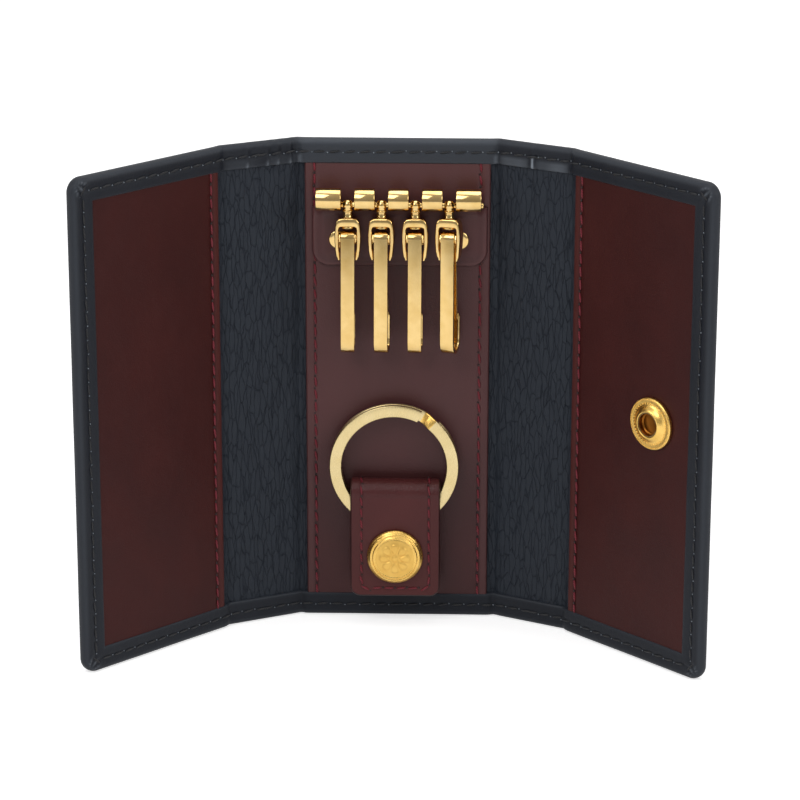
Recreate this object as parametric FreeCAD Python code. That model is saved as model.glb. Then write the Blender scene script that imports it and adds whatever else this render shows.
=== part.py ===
import FreeCAD, Part
import math
import os

# A key case of turned-edge leather that folds in three. It stands open on its bottom edge.
# Millimetres. +Z is up, +X is the right wing's side and -Y is the side that opens.
# The origin is at the middle of the centre's bottom edge.

V = FreeCAD.Vector
ACROSS = V(1, 0, 0)
BACK = V(0, 1, 0)
UP = V(0, 0, 1)
FULL_TURN = 360.0
HALF_TURN = 180.0
QUARTER_TURN = 90.0

# Leather case, crease to crease
case_height = 108.0
centre_width = 43.0
spine_width = 17.9
wing_width = 40.6
corner_radius = 3.2
edge_bevel = 0.6
spine_open_angle = 26.8
wing_open_angle = 45.0

# Plies of the case
cover_ply = 1.1
board_ply = 0.6
panel_ply = 0.9
lining_ply = 0.7
hem_ply = 0.6
hem_rise = 0.3
hem_width = 5.4
edge_wall = 1.0
crease_gap = 0.1
panel_setback = 1.75
lining_setback = 0.9
leather_fit = 0.03
overrun = 1.0

# Key rack, measured down from the case's top edge
rack_shift = 0.3
rack_drop = 12.1
rack_standoff = 4.1
knuckle_radius = 2.4
rack_sheet = 0.6
end_knuckle = 5.35
middle_knuckle = 4.3
hook_gap = 2.85
axle_radius = 0.6
axle_nub = 0.45
axle_seat_gap = 0.04
roll_seam_angle = 28.0
flange_drop = 3.9
flange_reach = 12.9
flange_inset = 1.2

# Leather patch over the rack's flange, and its rivets, measured down from the rack
patch_shift = 0.5
patch_width = 37.4
patch_reach = 15.6
patch_ply = 0.6
patch_corner = 3.6
patch_edge_bevel = 0.4
rivet_spread = 13.0
rivet_drop = 9.6
rivet_head_radius = 2.0
rivet_head_rise = 0.45
rivet_shank_radius = 0.8
rivet_tail_radius = 1.6
rivet_tail = 0.4

# Swivel hooks, measured from the rack's axle down
hook_twists = (0.0, -5.0, -3.0, -16.0)
hook_tilt = 5.0
running_fit = 0.06
eye_radius = 1.2
collar_drop = 1.15
collar_radius = 1.18
collar_height = 0.3
neck_top_radius = 0.95
neck_foot_radius = 1.1
pivot_radius = 0.7
pivot_head_radius = 1.35
pivot_head = 0.45
yoke_drop = 2.75
yoke_web = 1.8
yoke_height = 9.0
yoke_depth = 3.2
yoke_corner = 0.6
yoke_top_half = 1.6
yoke_shoulder_half = 2.5
yoke_shoulder_drop = 1.1
yoke_bulge_half = 2.75
yoke_toe_half = 2.15
yoke_toe_rise = 1.2
yoke_inner_half = 1.9
yoke_toe_inner_half = 1.6
yoke_waist_drop = 6.3
pin_drop = 7.1
pin_radius = 0.6
strip_width = 2.9
strip_ply = 0.85
hook_room_share = 0.7186
hook_throat = 3.8
hook_return = 8.7
hook_tip_round = 1.1
roll_end_angle = -70.0
gate_ply = 0.35
gate_width = 2.2
gate_ear = 0.32
gate_ear_gap = 0.05
gate_ear_radius = 1.15
gate_head_rise = 0.6
gate_head_drop = 1.6
gate_stop_gap = 0.1
gate_lap = 1.6

# Press snaps
snap_sides = 30
small_sides = 14
snap_gap = 2.95
post_radius = 1.75
post_fit = 0.04
cap_radius = 6.1
cap_rise = 2.3
cap_rim = 0.85
cap_ring_radius = 4.7
cap_ring_depth = 0.18
cap_ring_width = 0.5
socket_radius = 5.65
socket_rise = 2.05
socket_rim = 0.9
socket_floor = 0.35
socket_mouth_radius = 2.65
socket_lip_radius = 3.4
flare_radius = 2.15
flare_rise = 0.25
stud_radius = 5.0
stud_flange = 0.6
stud_rise = 2.2
stud_neck_radius = 2.0
stud_bulb_radius = 2.2
stud_wall = 0.4
spring_wire_half = 0.22
spring_height = 1.5
spring_gap_angle = 40.0
spring_clearance = 0.03
eyelet_flange_radius = 4.0
eyelet_flange = 0.4

# Wing snap
wing_snap_reach = 25.4
wing_snap_height = 54.0

# Strap and split ring
strap_shift = -0.3
strap_width = 19.5
strap_ply = 1.45
strap_top = 33.0
strap_flap_end = 6.7
strap_back_end = 8.0
strap_corner = 2.2
strap_edge_bevel = 0.35
strap_snap_height = 16.15
flap_open_angle = 100.0
ring_shift = -0.6
ring_outer_radius = 14.0
ring_band = 2.6
ring_layer = 0.95
ring_layer_gap = 0.45
ring_seat_gap = 0.2
ring_jog_angle = 13.0
ring_jog_place = 55.0
ring_end_gap_angle = 3.0
ring_jog_steps = 4

# Heights of the plies' faces, from the middle of the cover towards the open side
cover_half = cover_ply / 2
board_top = cover_half + board_ply
panel_top = board_top + panel_ply
hem_top = panel_top + hem_rise
hem_floor = hem_top - hem_ply
lining_top = cover_half + lining_ply
spine_hem_top = lining_top + hem_ply

# The creases turn about the middle of the cover's ply
crease_y = (hem_top - cover_half) / 2
panel_y = crease_y - panel_top
closing_tilt = math.degrees(math.asin((cover_half + panel_top + snap_gap) / centre_width))
mitre_share = math.tan(math.radians((QUARTER_TURN + closing_tilt) / 2))
ply_setback = cover_half * mitre_share + crease_gap
rim_setback = hem_floor * mitre_share + crease_gap
spine_turn = math.radians(spine_open_angle)
right_crease = V(centre_width / 2, crease_y, 0)
right_edge_crease = right_crease + V(math.cos(spine_turn), -math.sin(spine_turn), 0) * spine_width
stud_reach = centre_width * math.cos(math.radians(closing_tilt)) - wing_snap_reach

# The rack's axle lies on the floor of the rolled knuckles
rack_height = case_height - rack_drop
flange_bottom = rack_height - flange_reach
patch_bottom = rack_height - patch_reach
rivet_height = rack_height - rivet_drop
knuckle_bore = knuckle_radius - rack_sheet
rack_y = panel_y - rack_standoff
axle_height = rack_height - knuckle_bore + axle_radius + axle_seat_gap
axle_place = V(rack_shift, rack_y, axle_height)
rack_length = 2 * end_knuckle + 3 * middle_knuckle + 4 * hook_gap
rack_start = rack_shift - rack_length / 2
hook_pitch = middle_knuckle + hook_gap
hook_spots = [rack_start + end_knuckle + hook_gap / 2 + hook_pitch * i for i in range(len(hook_twists))]

# The strap's two plies stand a snap's depth apart, and the ring lies between them
strap_half = strap_ply / 2
bend_inner = snap_gap / 2
bend_outer = bend_inner + strap_ply
bend_y = panel_y - bend_outer
bend_height = strap_top - bend_outer
flap_y = bend_y - bend_inner - strap_half
ring_thickness = 2 * ring_layer + ring_layer_gap
ring_height = strap_snap_height + socket_radius + ring_seat_gap + ring_outer_radius
ring_place = V(ring_shift, bend_y, ring_height)

# The hooks hang in the room between the rack and the ring
hook_drop = (axle_height - ring_height - ring_outer_radius) * hook_room_share


def on_front(across, height):
    """Point of a front outline."""
    return V(across, 0, height)


def on_side(depth, height):
    """Point of a side outline."""
    return V(0, depth, height)


def on_plan(across, depth):
    """Point of a plan outline."""
    return V(across, depth, 0)


def outline(steps, to_space):
    """Closed face through the steps: a point ends a line, and two points pass and end an arc."""
    edges = []
    here = steps[0]
    for step in steps[1:] + [steps[0]]:
        if isinstance(step[0], tuple):
            middle, there = step
            edges.append(Part.Arc(to_space(*here), to_space(*middle), to_space(*there)).toShape())
        else:
            there = step
            if there != here:
                edges.append(Part.LineSegment(to_space(*here), to_space(*there)).toShape())
        here = there
    return Part.Face(Part.Wire(edges))


def block(low, high):
    """Box between its lowest and highest corners."""
    return Part.makeBox(high[0] - low[0], high[1] - low[1], high[2] - low[2], V(*low))


def rod(radius, start, direction, length):
    """Round bar from a start point."""
    return Part.makeCylinder(radius, length, start, direction)


def ring_wire(radius, height, sides):
    """Closed many-sided wire about Z."""
    corners = [V(*on_circle(radius, FULL_TURN * k / sides), height) for k in range(sides)]
    return Part.makePolygon(corners + corners[:1])


def turned(steps, sides):
    """Many-sided turned solid about Z from an outline of radius and height."""
    faces = []
    for (near, low), (far, high) in zip(steps, steps[1:] + steps[:1]):
        for k in range(sides):
            first = FULL_TURN * k / sides
            last = FULL_TURN * (k + 1) / sides
            points = []
            if near:
                points += [V(*on_circle(near, first), low), V(*on_circle(near, last), low)]
            else:
                points += [V(0, 0, low)]
            if far:
                points += [V(*on_circle(far, last), high), V(*on_circle(far, first), high)]
            else:
                points += [V(0, 0, high)]
            if near or far:
                faces.append(Part.Face(Part.makePolygon(points + points[:1])))
    solid = Part.Solid(Part.Shell(faces))
    if solid.Volume < 0:
        solid.reverse()
    return solid.removeSplitter()


def on_circle(radius, angle):
    """Point of a circle about the origin, by its angle in degrees."""
    return (radius * math.cos(math.radians(angle)), radius * math.sin(math.radians(angle)))


def moved(shape, place, *turns):
    """Copy that is turned about the origin by each axis and angle in order, then moved."""
    result = shape.copy()
    for axis, angle in turns:
        result.rotate(V(0, 0, 0), axis, angle)
    result.translate(place)
    return result


def mirrored(shape):
    """Copy on the other side of the case's middle plane."""
    return shape.mirror(V(0, 0, 0), ACROSS)


def rounded(shape, radius, wanted):
    """Copy with the wanted edges rounded."""
    return shape.makeFillet(radius, [edge for edge in shape.Edges if wanted(edge)])


def bevelled(shape, size, wanted):
    """Copy with the wanted edges bevelled."""
    return shape.makeChamfer(size, [edge for edge in shape.Edges if wanted(edge)])


def lies_at(value, level):
    """True where a measured value is at a level."""
    return abs(value - level) < leather_fit / 10


def crease_cut(full_ply):
    """Clearance for folding at a crease on the origin: the cover's end and the mitred hems."""
    ply_floor = 0 if full_ply else -cover_half
    mitre = [
        (-overrun, ply_floor),
        (ply_setback, ply_floor),
        (ply_setback, -cover_half),
        (hem_top * mitre_share + crease_gap, -hem_top),
        (-overrun, -hem_top),
    ]
    if not full_ply:
        mitre.remove((ply_setback, -cover_half))
    cut = outline(mitre, on_plan).extrude(UP * case_height)
    if full_ply:
        cut = cut.fuse(rod(cover_half + crease_gap, V(0, 0, 0), UP, case_height))
    return cut


def at_far_end(cut, width):
    """Crease cut turned round for the other end of a plate."""
    return moved(cut.mirror(V(0, 0, 0), ACROSS), V(width, 0, 0))


def turned_edge_cover(width, top, floor, free_edge, start):
    """Cover plate with its edges turned over on to the inside, as an outer ply, a wall and a hem."""
    far = width - start
    radius = corner_radius
    if free_edge:
        slant = radius * (1 - math.cos(math.radians(QUARTER_TURN / 2)))
        steps = [
            (start, 0), (far - radius, 0), ((far - slant, slant), (far, radius)),
            (far, case_height - radius),
            ((far - slant, case_height - slant), (far - radius, case_height)), (start, case_height),
        ]
    else:
        steps = [(start, 0), (far, 0), (far, case_height), (start, case_height)]
    plate = outline(steps, on_front).extrude(BACK * (top + cover_half))
    plate.translate(BACK * -top)

    def is_turned_edge(edge):
        box = edge.BoundBox
        flat = lies_at(box.YMin, box.YMax) and (lies_at(box.YMin, -top) or lies_at(box.YMin, cover_half))
        beside = lies_at(box.XMin, box.XMax) and (lies_at(box.XMin, start) or not free_edge)
        return flat and not beside

    plate = bevelled(plate, edge_bevel, is_turned_edge)
    reach = far - hem_width if free_edge else far + overrun
    rim_reach = far - edge_wall if free_edge else far + overrun
    window = block((start - overrun, -top - overrun, hem_width), (reach, -cover_half, case_height - hem_width))
    rim = block((start - overrun, -floor, edge_wall), (rim_reach, -cover_half, case_height - edge_wall))
    return plate.cut(window).cut(rim)


def panel_plate(first, last, rim_first, rim_last, free_edge):
    """Visible leather panel with the thin rim that the hems hold."""
    reach = last - hem_width - leather_fit if free_edge else last
    rim_reach = last - edge_wall - leather_fit if free_edge else rim_last
    face = block(
        (first, -panel_top, hem_width + leather_fit),
        (reach, -board_top, case_height - hem_width - leather_fit),
    )
    low = edge_wall + leather_fit
    rim = block((rim_first, -hem_floor + leather_fit, low), (rim_reach, -board_top, case_height - low))
    return face.fuse(rim).removeSplitter()


def board_plate(first, last):
    """Stiffening board between the cover and a panel."""
    low = edge_wall + leather_fit
    return block((first, -board_top, low), (last, -cover_half, case_height - low))


def in_wing(shape):
    """Place a shape from the right wing's own plane, with its crease on the origin."""
    return moved(shape, right_edge_crease, (UP, -wing_open_angle))


def in_spine(shape):
    """Place a shape from the right spine's own plane, with its crease on the origin."""
    return moved(shape, right_crease, (UP, -spine_open_angle))


def drilled(shape, radius, places, direction):
    """Shape with a round hole right through it at each place."""
    reach = radius / math.cos(math.pi / small_sides)
    drill = Part.Face(ring_wire(reach, -case_height, small_sides)).extrude(UP * 2 * case_height)
    drill.Placement = FreeCAD.Placement(V(0, 0, 0), FreeCAD.Rotation(UP, direction))
    for place in places:
        shape = shape.cut(moved(drill, place))
    return shape


def snap_cap(post_length):
    """Domed cap in bands, its face on the origin, with the post that is flared over the socket's floor."""
    ring_in = cap_ring_radius - cap_ring_width / 2
    ring_out = cap_ring_radius + cap_ring_width / 2

    def dome(radius):
        return cap_rim + (cap_rise - cap_rim) * math.sqrt(1 - (radius / cap_radius) ** 2)

    below = -post_length - socket_floor
    return turned([
        (0, cap_rise),
        (ring_in / 2, dome(ring_in / 2)),
        (ring_in, dome(ring_in)),
        (cap_ring_radius, dome(cap_ring_radius) - cap_ring_depth),
        (ring_out, dome(ring_out)),
        (cap_radius, cap_rim),
        (cap_radius - cap_rim / 4, 0),
        (post_radius, 0),
        (post_radius, below),
        (flare_radius, below - flare_rise / 2),
        (flare_radius, below - flare_rise),
        (0, below - flare_rise),
    ], snap_sides)


def snap_socket():
    """Socket with its base on the origin: a rim, a dished face and a raised lip round the mouth."""
    groove = spring_wire_half + spring_clearance
    hole = post_radius + post_fit
    return turned([
        (hole, 0),
        (socket_radius, 0),
        (socket_radius, socket_rim * 3 / 4),
        (socket_radius - socket_rim / 4, socket_rim),
        (socket_lip_radius + socket_rim / 2, socket_rim * 3 / 4),
        (socket_lip_radius, socket_rim),
        (socket_lip_radius - socket_rim / 8, socket_rise - socket_rim / 4),
        (socket_lip_radius - socket_rim / 3, socket_rise),
        (socket_mouth_radius, socket_rise),
        (socket_mouth_radius, spring_height + groove),
        (socket_mouth_radius + groove, spring_height + groove),
        (socket_mouth_radius + groove, spring_height - groove),
        (socket_mouth_radius, spring_height - groove),
        (socket_mouth_radius, socket_floor),
        (hole, socket_floor),
    ], snap_sides)


def snap_spring():
    """Split ring of square wire that grips the stud's neck, in the groove of the socket's mouth."""
    inner = socket_mouth_radius - spring_wire_half
    outer = socket_mouth_radius + spring_wire_half
    low = spring_height - spring_wire_half
    high = spring_height + spring_wire_half
    gap = socket_mouth_radius * math.sin(math.radians(spring_gap_angle / 2))
    ring = turned([(inner, low), (outer, low), (outer, high), (inner, high)], snap_sides)
    return ring.cut(block((0, -gap, low - overrun), (outer + overrun, gap, high + overrun)))


def snap_stud():
    """Stud with its flange on the origin, hollow for the eyelet that holds it."""
    bulb_height = (stud_flange + 2 * stud_rise) / 3
    bore = post_radius + post_fit
    return turned([
        (bore, 0),
        (stud_radius - stud_flange / 4, 0),
        (stud_radius, stud_flange / 4),
        (stud_radius, stud_flange * 3 / 4),
        (stud_radius - stud_flange / 4, stud_flange),
        (stud_neck_radius, stud_flange),
        (stud_bulb_radius, bulb_height),
        (stud_bulb_radius - stud_wall, stud_rise),
        (0, stud_rise),
        (0, stud_rise - stud_wall),
        (bore, stud_rise - stud_wall),
    ], snap_sides)


def snap_eyelet(depth):
    """Eyelet whose flange lies a depth below the stud's seat and whose tube fills the stud."""
    top = stud_rise - stud_wall - post_fit
    bore = post_radius - stud_wall
    return turned([
        (bore, -depth - eyelet_flange),
        (eyelet_flange_radius, -depth - eyelet_flange),
        (eyelet_flange_radius, -depth),
        (post_radius, -depth),
        (post_radius, top),
        (bore, top),
    ], snap_sides)


def facing_front(shape, place):
    """Place a snap's piece with its axis towards the open side."""
    return moved(shape, place, (ACROSS, QUARTER_TURN))


def facing_back(shape, place):
    """Place a snap's piece with its axis towards the back."""
    return moved(shape, place, (ACROSS, -QUARTER_TURN))


def build_covers():
    """Five plates of the cover and the two spines' linings."""
    wing = turned_edge_cover(wing_width, hem_top, hem_floor, True, 0).cut(crease_cut(True))
    spine = turned_edge_cover(spine_width, spine_hem_top, lining_top, False, 0)
    for end in (0, spine_width):
        spine = spine.fuse(rod(cover_half, V(end, 0, edge_bevel), UP, case_height - 2 * edge_bevel))
    mitre = crease_cut(False)
    spine = spine.cut(mitre).cut(at_far_end(mitre, spine_width)).removeSplitter()
    lining = block(
        (lining_setback, -lining_top + leather_fit, edge_wall + leather_fit),
        (spine_width - lining_setback, -cover_half, case_height - edge_wall - leather_fit),
    )
    centre = turned_edge_cover(centre_width, hem_top, hem_floor, False, 0)
    centre = centre.cut(crease_cut(True)).cut(at_far_end(crease_cut(True), centre_width))
    stud_hole = [V(stud_reach, 0, wing_snap_height)]
    post_hole = [V(wing_snap_reach, 0, wing_snap_height)]
    hole = post_radius + post_fit
    return {
        "cover_centre": moved(centre, V(-centre_width / 2, crease_y, 0)),
        "cover_right_spine": in_spine(spine),
        "cover_left_spine": mirrored(in_spine(spine)),
        "right_spine_lining": in_spine(lining),
        "left_spine_lining": mirrored(in_spine(lining)),
        "cover_right_wing": in_wing(drilled(wing, hole, post_hole, BACK)),
        "cover_left_wing": mirrored(in_wing(drilled(wing, hole, stud_hole, BACK))),
    }


def build_panels():
    """Three visible panels and the boards behind them, with the holes of what passes through."""
    wing_panel = panel_plate(panel_setback, wing_width, rim_setback, wing_width, True)
    wing_board = board_plate(panel_setback, wing_width - edge_wall - leather_fit)
    centre_panel = panel_plate(
        panel_setback, centre_width - panel_setback, rim_setback, centre_width - rim_setback, False)
    centre_board = board_plate(panel_setback, centre_width - panel_setback)
    tube = post_radius + post_fit
    flange = eyelet_flange_radius + post_fit
    post_hole = [V(wing_snap_reach, 0, wing_snap_height)]
    stud_hole = [V(stud_reach, 0, wing_snap_height)]
    strap_hole = [V(centre_width / 2 + strap_shift, 0, strap_snap_height)]
    rivet_holes = [
        V(centre_width / 2 + rack_shift + side * rivet_spread, 0, rivet_height) for side in (-1, 1)]
    centre_panel = drilled(centre_panel, tube, strap_hole, BACK)
    centre_panel = drilled(centre_panel, rivet_shank_radius + leather_fit, rivet_holes, BACK)
    centre_board = drilled(centre_board, flange, strap_hole, BACK)
    centre_board = drilled(centre_board, rivet_tail_radius + leather_fit, rivet_holes, BACK)
    at_centre = V(-centre_width / 2, crease_y, 0)
    return {
        "centre_panel": moved(centre_panel, at_centre),
        "centre_board": moved(centre_board, at_centre),
        "right_wing_panel": in_wing(drilled(wing_panel, tube, post_hole, BACK)),
        "right_wing_board": in_wing(drilled(wing_board, tube, post_hole, BACK)),
        "left_wing_panel": mirrored(in_wing(wing_panel)),
        "left_wing_board": mirrored(in_wing(drilled(wing_board, flange, stud_hole, BACK))),
    }


def build_wing_snap():
    """Socket and cap on the right wing, stud on the left wing's outside."""
    inside = V(wing_snap_reach, -panel_top, wing_snap_height)
    outside = V(wing_snap_reach, cover_half, wing_snap_height)
    stud_seat = V(stud_reach, cover_half, wing_snap_height)
    return {
        "wing_snap_cap": in_wing(facing_back(snap_cap(cover_half + panel_top), outside)),
        "wing_snap_socket": in_wing(facing_front(snap_socket(), inside)),
        "wing_snap_spring": in_wing(facing_front(snap_spring(), inside)),
        "wing_snap_stud": mirrored(in_wing(facing_back(snap_stud(), stud_seat))),
        "wing_stud_eyelet": mirrored(in_wing(facing_back(snap_eyelet(cover_ply), stud_seat))),
    }


def rack_profile():
    """Side outline of the rack's sheet: rolled knuckle, neck and step to the flange."""
    seam = -QUARTER_TURN + roll_seam_angle
    foot = rack_height - flange_drop
    step = rack_standoff - knuckle_radius
    roll = outline([
        on_circle(knuckle_radius, 0),
        (on_circle(knuckle_radius, QUARTER_TURN), on_circle(knuckle_radius, HALF_TURN)),
        (on_circle(knuckle_radius, HALF_TURN + QUARTER_TURN / 2), on_circle(knuckle_radius, seam)),
        on_circle(knuckle_bore, seam),
        (on_circle(knuckle_bore, HALF_TURN + QUARTER_TURN / 2), on_circle(knuckle_bore, HALF_TURN)),
        (on_circle(knuckle_bore, QUARTER_TURN), on_circle(knuckle_bore, 0)),
    ], on_side)
    neck = outline([
        (knuckle_bore, 0),
        (knuckle_radius, 0),
        (knuckle_radius, -knuckle_radius / 2),
        (knuckle_radius + step, foot - rack_height + rack_sheet),
        (knuckle_radius + step, foot - rack_height - rack_sheet),
        (knuckle_radius + step - rack_sheet, foot - rack_height - rack_sheet),
        (knuckle_radius + step - rack_sheet, foot - rack_height + rack_sheet / 2),
        (knuckle_bore, -knuckle_radius / 2 - rack_sheet / 3),
    ], on_side)
    return roll, neck


def build_rack():
    """Rack plate with its knuckles, the axle, the leather patch and the rivets."""
    roll, neck = rack_profile()
    foot = rack_height - flange_drop - rack_sheet
    flange = block(
        (rack_start + flange_inset, panel_y - rack_sheet, flange_bottom),
        (rack_start + rack_length - flange_inset, panel_y, foot),
    )
    lengths = [end_knuckle] + [middle_knuckle] * 3 + [end_knuckle]
    plate = flange
    start = rack_start
    for length in lengths:
        knuckle = roll.extrude(ACROSS * length).fuse(neck.extrude(ACROSS * length))
        plate = plate.fuse(moved(knuckle, V(start, rack_y, rack_height)))
        start = start + length + hook_gap
    axle = rod(axle_radius, V(rack_start, rack_y, axle_height), ACROSS, rack_length + axle_nub)

    left = patch_shift - patch_width / 2
    right = patch_shift + patch_width / 2
    slant = patch_corner * (1 - math.cos(math.radians(QUARTER_TURN / 2)))
    patch = outline([
        (left, foot),
        (left, patch_bottom + patch_corner),
        ((left + slant, patch_bottom + slant), (left + patch_corner, patch_bottom)),
        (right - patch_corner, patch_bottom),
        ((right - slant, patch_bottom + slant), (right, patch_bottom + patch_corner)),
        (right, foot),
    ], on_front).extrude(BACK * (rack_sheet + patch_ply))
    front = panel_y - rack_sheet - patch_ply
    patch.translate(BACK * front)
    patch = bevelled(patch, patch_edge_bevel, lambda edge: lies_at(edge.BoundBox.YMax, front))
    bed = block(
        (rack_start + flange_inset - leather_fit, panel_y - rack_sheet - leather_fit, flange_bottom - leather_fit),
        (rack_start + rack_length - flange_inset + leather_fit, panel_y + overrun, foot + overrun),
    )
    spots = [V(rack_shift + side * rivet_spread, front, rivet_height) for side in (-1, 1)]
    hole = rivet_shank_radius + leather_fit
    patch = drilled(patch.cut(bed), hole, spots, BACK)
    plate = drilled(plate, hole, spots, BACK)

    grip = rack_sheet + patch_ply + panel_ply
    rivet = turned([
        (0, rivet_head_rise),
        (rivet_head_radius * math.sin(math.pi / 6), rivet_head_rise * math.cos(math.pi / 6)),
        (rivet_head_radius * math.sin(math.pi / 3), rivet_head_rise * math.cos(math.pi / 3)),
        (rivet_head_radius, 0),
        (rivet_shank_radius, 0),
        (rivet_shank_radius, -grip),
        (rivet_tail_radius, -grip),
        (rivet_tail_radius, -grip - rivet_tail),
        (0, -grip - rivet_tail),
    ], small_sides)
    rivets = Part.makeCompound([facing_front(rivet, spot) for spot in spots])
    return {
        "rack_plate": plate.removeSplitter(),
        "rack_axle": axle,
        "rack_patch": patch,
        "rack_rivets": rivets,
    }


def hook_stem():
    """Swivel stem: a ball eye on the axle, a collar, a flared neck and a headed pivot."""
    pivot_end = yoke_drop + yoke_web + running_fit
    neck_angle = math.degrees(math.acos(neck_top_radius / eye_radius))
    stem = turned([
        (0, eye_radius),
        on_circle(eye_radius, QUARTER_TURN / 2),
        (eye_radius, 0),
        on_circle(eye_radius, -neck_angle),
        (neck_top_radius, -collar_drop),
        (collar_radius, -collar_drop - collar_height / 2),
        (neck_top_radius, -collar_drop - collar_height),
        (neck_foot_radius, -yoke_drop + running_fit),
        (pivot_radius, -yoke_drop + running_fit),
        (pivot_radius, -pivot_end),
        (pivot_head_radius, -pivot_end),
        (pivot_head_radius, -pivot_end - pivot_head),
        (0, -pivot_end - pivot_head),
    ], small_sides)
    return drilled(stem, axle_radius + running_fit, [V(0, 0, 0)], ACROSS).removeSplitter()


def hook_yoke():
    """Clevis with a flat web on the stem's pivot and two bowed arms that taper to their toes."""
    top = -yoke_drop
    shoulder = top - yoke_web
    toe = top - yoke_height
    middle = (shoulder + toe) / 2
    rim = top - yoke_shoulder_drop
    waist = top - yoke_waist_drop
    right = [
        (yoke_top_half, top),
        ((yoke_top_half + 2 * yoke_shoulder_half) / 3, top - yoke_shoulder_drop / 3),
        (yoke_shoulder_half, rim),
        (yoke_bulge_half, middle),
        (yoke_toe_half + (yoke_bulge_half - yoke_toe_half) / 2, toe + yoke_toe_rise),
        (yoke_toe_half, toe),
        (yoke_toe_inner_half, toe),
        (yoke_toe_inner_half, waist - yoke_toe_rise),
        (yoke_inner_half, waist),
        (yoke_inner_half, shoulder),
    ]
    left = [(-across, height) for across, height in reversed(right)]
    front = outline(right + left, on_front)
    half = yoke_depth / 2
    arms = front.extrude(BACK * yoke_depth)
    arms.translate(BACK * -half)
    side = outline([
        (-half, top),
        (half, top),
        (half, toe + half),
        (half * math.sin(math.pi / 4), toe + half * (1 - math.sin(math.pi / 4))),
        (half * math.sin(math.pi / 8), toe),
        (-half * math.sin(math.pi / 8), toe),
        (-half * math.sin(math.pi / 4), toe + half * (1 - math.sin(math.pi / 4))),
        (-half, toe + half),
    ], on_side).extrude(ACROSS * 2 * yoke_bulge_half)
    side.translate(ACROSS * -yoke_bulge_half)
    flat = yoke_bulge_half - yoke_corner
    flank = half - yoke_corner
    plan = outline([
        (-flat, -half), (flat, -half), (yoke_bulge_half, -flank), (yoke_bulge_half, flank),
        (flat, half), (-flat, half), (-yoke_bulge_half, flank), (-yoke_bulge_half, -flank),
    ], on_plan).extrude(UP * (yoke_height + 2 * overrun))
    plan.translate(UP * (toe - overrun))
    yoke = arms.common(side.common(plan))
    yoke = drilled(yoke, pin_radius + leather_fit, [V(0, 0, -pin_drop)], ACROSS)
    return yoke.cut(rod(pivot_radius + running_fit, V(0, 0, shoulder - overrun), UP, yoke_web + 2 * overrun))


def hook_body():
    """Flat strip rolled round the pin at its top and bent into a hook at its foot."""
    inner = pin_radius + leather_fit
    outer = inner + strip_ply
    bend_in = hook_throat / 2
    bend_out = bend_in + strip_ply
    throat = -inner + bend_in
    bend = -hook_drop + bend_out
    tip = -hook_drop + hook_return

    def about_pin(radius, angle):
        depth, height = on_circle(radius, angle)
        return (depth, height - pin_drop)

    profile = outline([
        (-outer, -pin_drop),
        (about_pin(outer, QUARTER_TURN), about_pin(outer, 0)),
        (about_pin(outer, roll_end_angle / 2), about_pin(outer, roll_end_angle)),
        about_pin(inner, roll_end_angle),
        (about_pin(inner, roll_end_angle / 2), about_pin(inner, 0)),
        (about_pin(inner, QUARTER_TURN), (-inner, -pin_drop)),
        (-inner, bend),
        ((throat, bend - bend_in), (throat + bend_in, bend)),
        (throat + bend_in, tip),
        (throat + bend_out, tip),
        (throat + bend_out, bend),
        ((throat, bend - bend_out), (-outer, bend)),
    ], on_side)
    body = profile.extrude(ACROSS * strip_width)
    body.translate(ACROSS * (-strip_width / 2))

    def is_tip_corner(edge):
        box = edge.BoundBox
        return lies_at(box.ZMin, tip) and lies_at(box.ZMax, tip) and lies_at(box.XMin, box.XMax)

    return rounded(body, hook_tip_round, is_tip_corner)


def hook_gate():
    """Sprung strip that shuts the hook: two ears on the pin, a head behind the roll and a tongue."""
    roll = pin_radius + leather_fit + strip_ply
    inner = roll + gate_stop_gap
    outer = inner + gate_ply
    ear_in = strip_width / 2 + gate_ear_gap
    ear_out = ear_in + gate_ear
    rest = hook_throat - pin_radius - leather_fit - gate_stop_gap
    end = -hook_drop + hook_return - gate_lap
    top = -pin_drop + gate_head_rise
    foot = -pin_drop - gate_head_drop
    gate = block((-ear_out, inner, foot), (ear_out, outer, top))
    for side in (-1, 1):
        low = min(side * ear_in, side * ear_out)
        ear = outline([
            on_circle(gate_ear_radius, QUARTER_TURN * k / 2) for k in range(8)
        ], on_side).extrude(ACROSS * gate_ear)
        ear.translate(V(low, 0, -pin_drop))
        arm = block((low, 0, foot + gate_head_rise), (low + gate_ear, outer, top))
        gate = gate.fuse(ear).fuse(arm)
    tongue = outline([
        (inner, foot + gate_head_rise),
        (outer, foot + gate_head_rise),
        (rest, end),
        (rest - gate_ply, end),
    ], on_side).extrude(ACROSS * gate_width)
    tongue.translate(ACROSS * (-gate_width / 2))
    gate = gate.fuse(tongue).removeSplitter()
    return drilled(gate, pin_radius + running_fit, [V(0, 0, -pin_drop)], ACROSS)


def build_hooks():
    """Four swivel hooks that hang from the axle, each a little turned on its stem."""
    pin_half = yoke_bulge_half - leather_fit
    pieces = {
        "yoke": hook_yoke(),
        "pin": rod(pin_radius, V(-pin_half, 0, -pin_drop), ACROSS, 2 * pin_half),
        "body": hook_body(),
        "gate": hook_gate(),
    }
    stem = hook_stem()
    hooks = {}
    for number, (spot, twist) in enumerate(zip(hook_spots, hook_twists), 1):
        place = V(spot, rack_y, axle_height)
        hooks[f"hook_{number}_stem"] = moved(stem, place, (ACROSS, -hook_tilt))
        for name, shape in pieces.items():
            hooks[f"hook_{number}_{name}"] = moved(shape, place, (UP, twist), (ACROSS, -hook_tilt))
    return hooks


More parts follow.
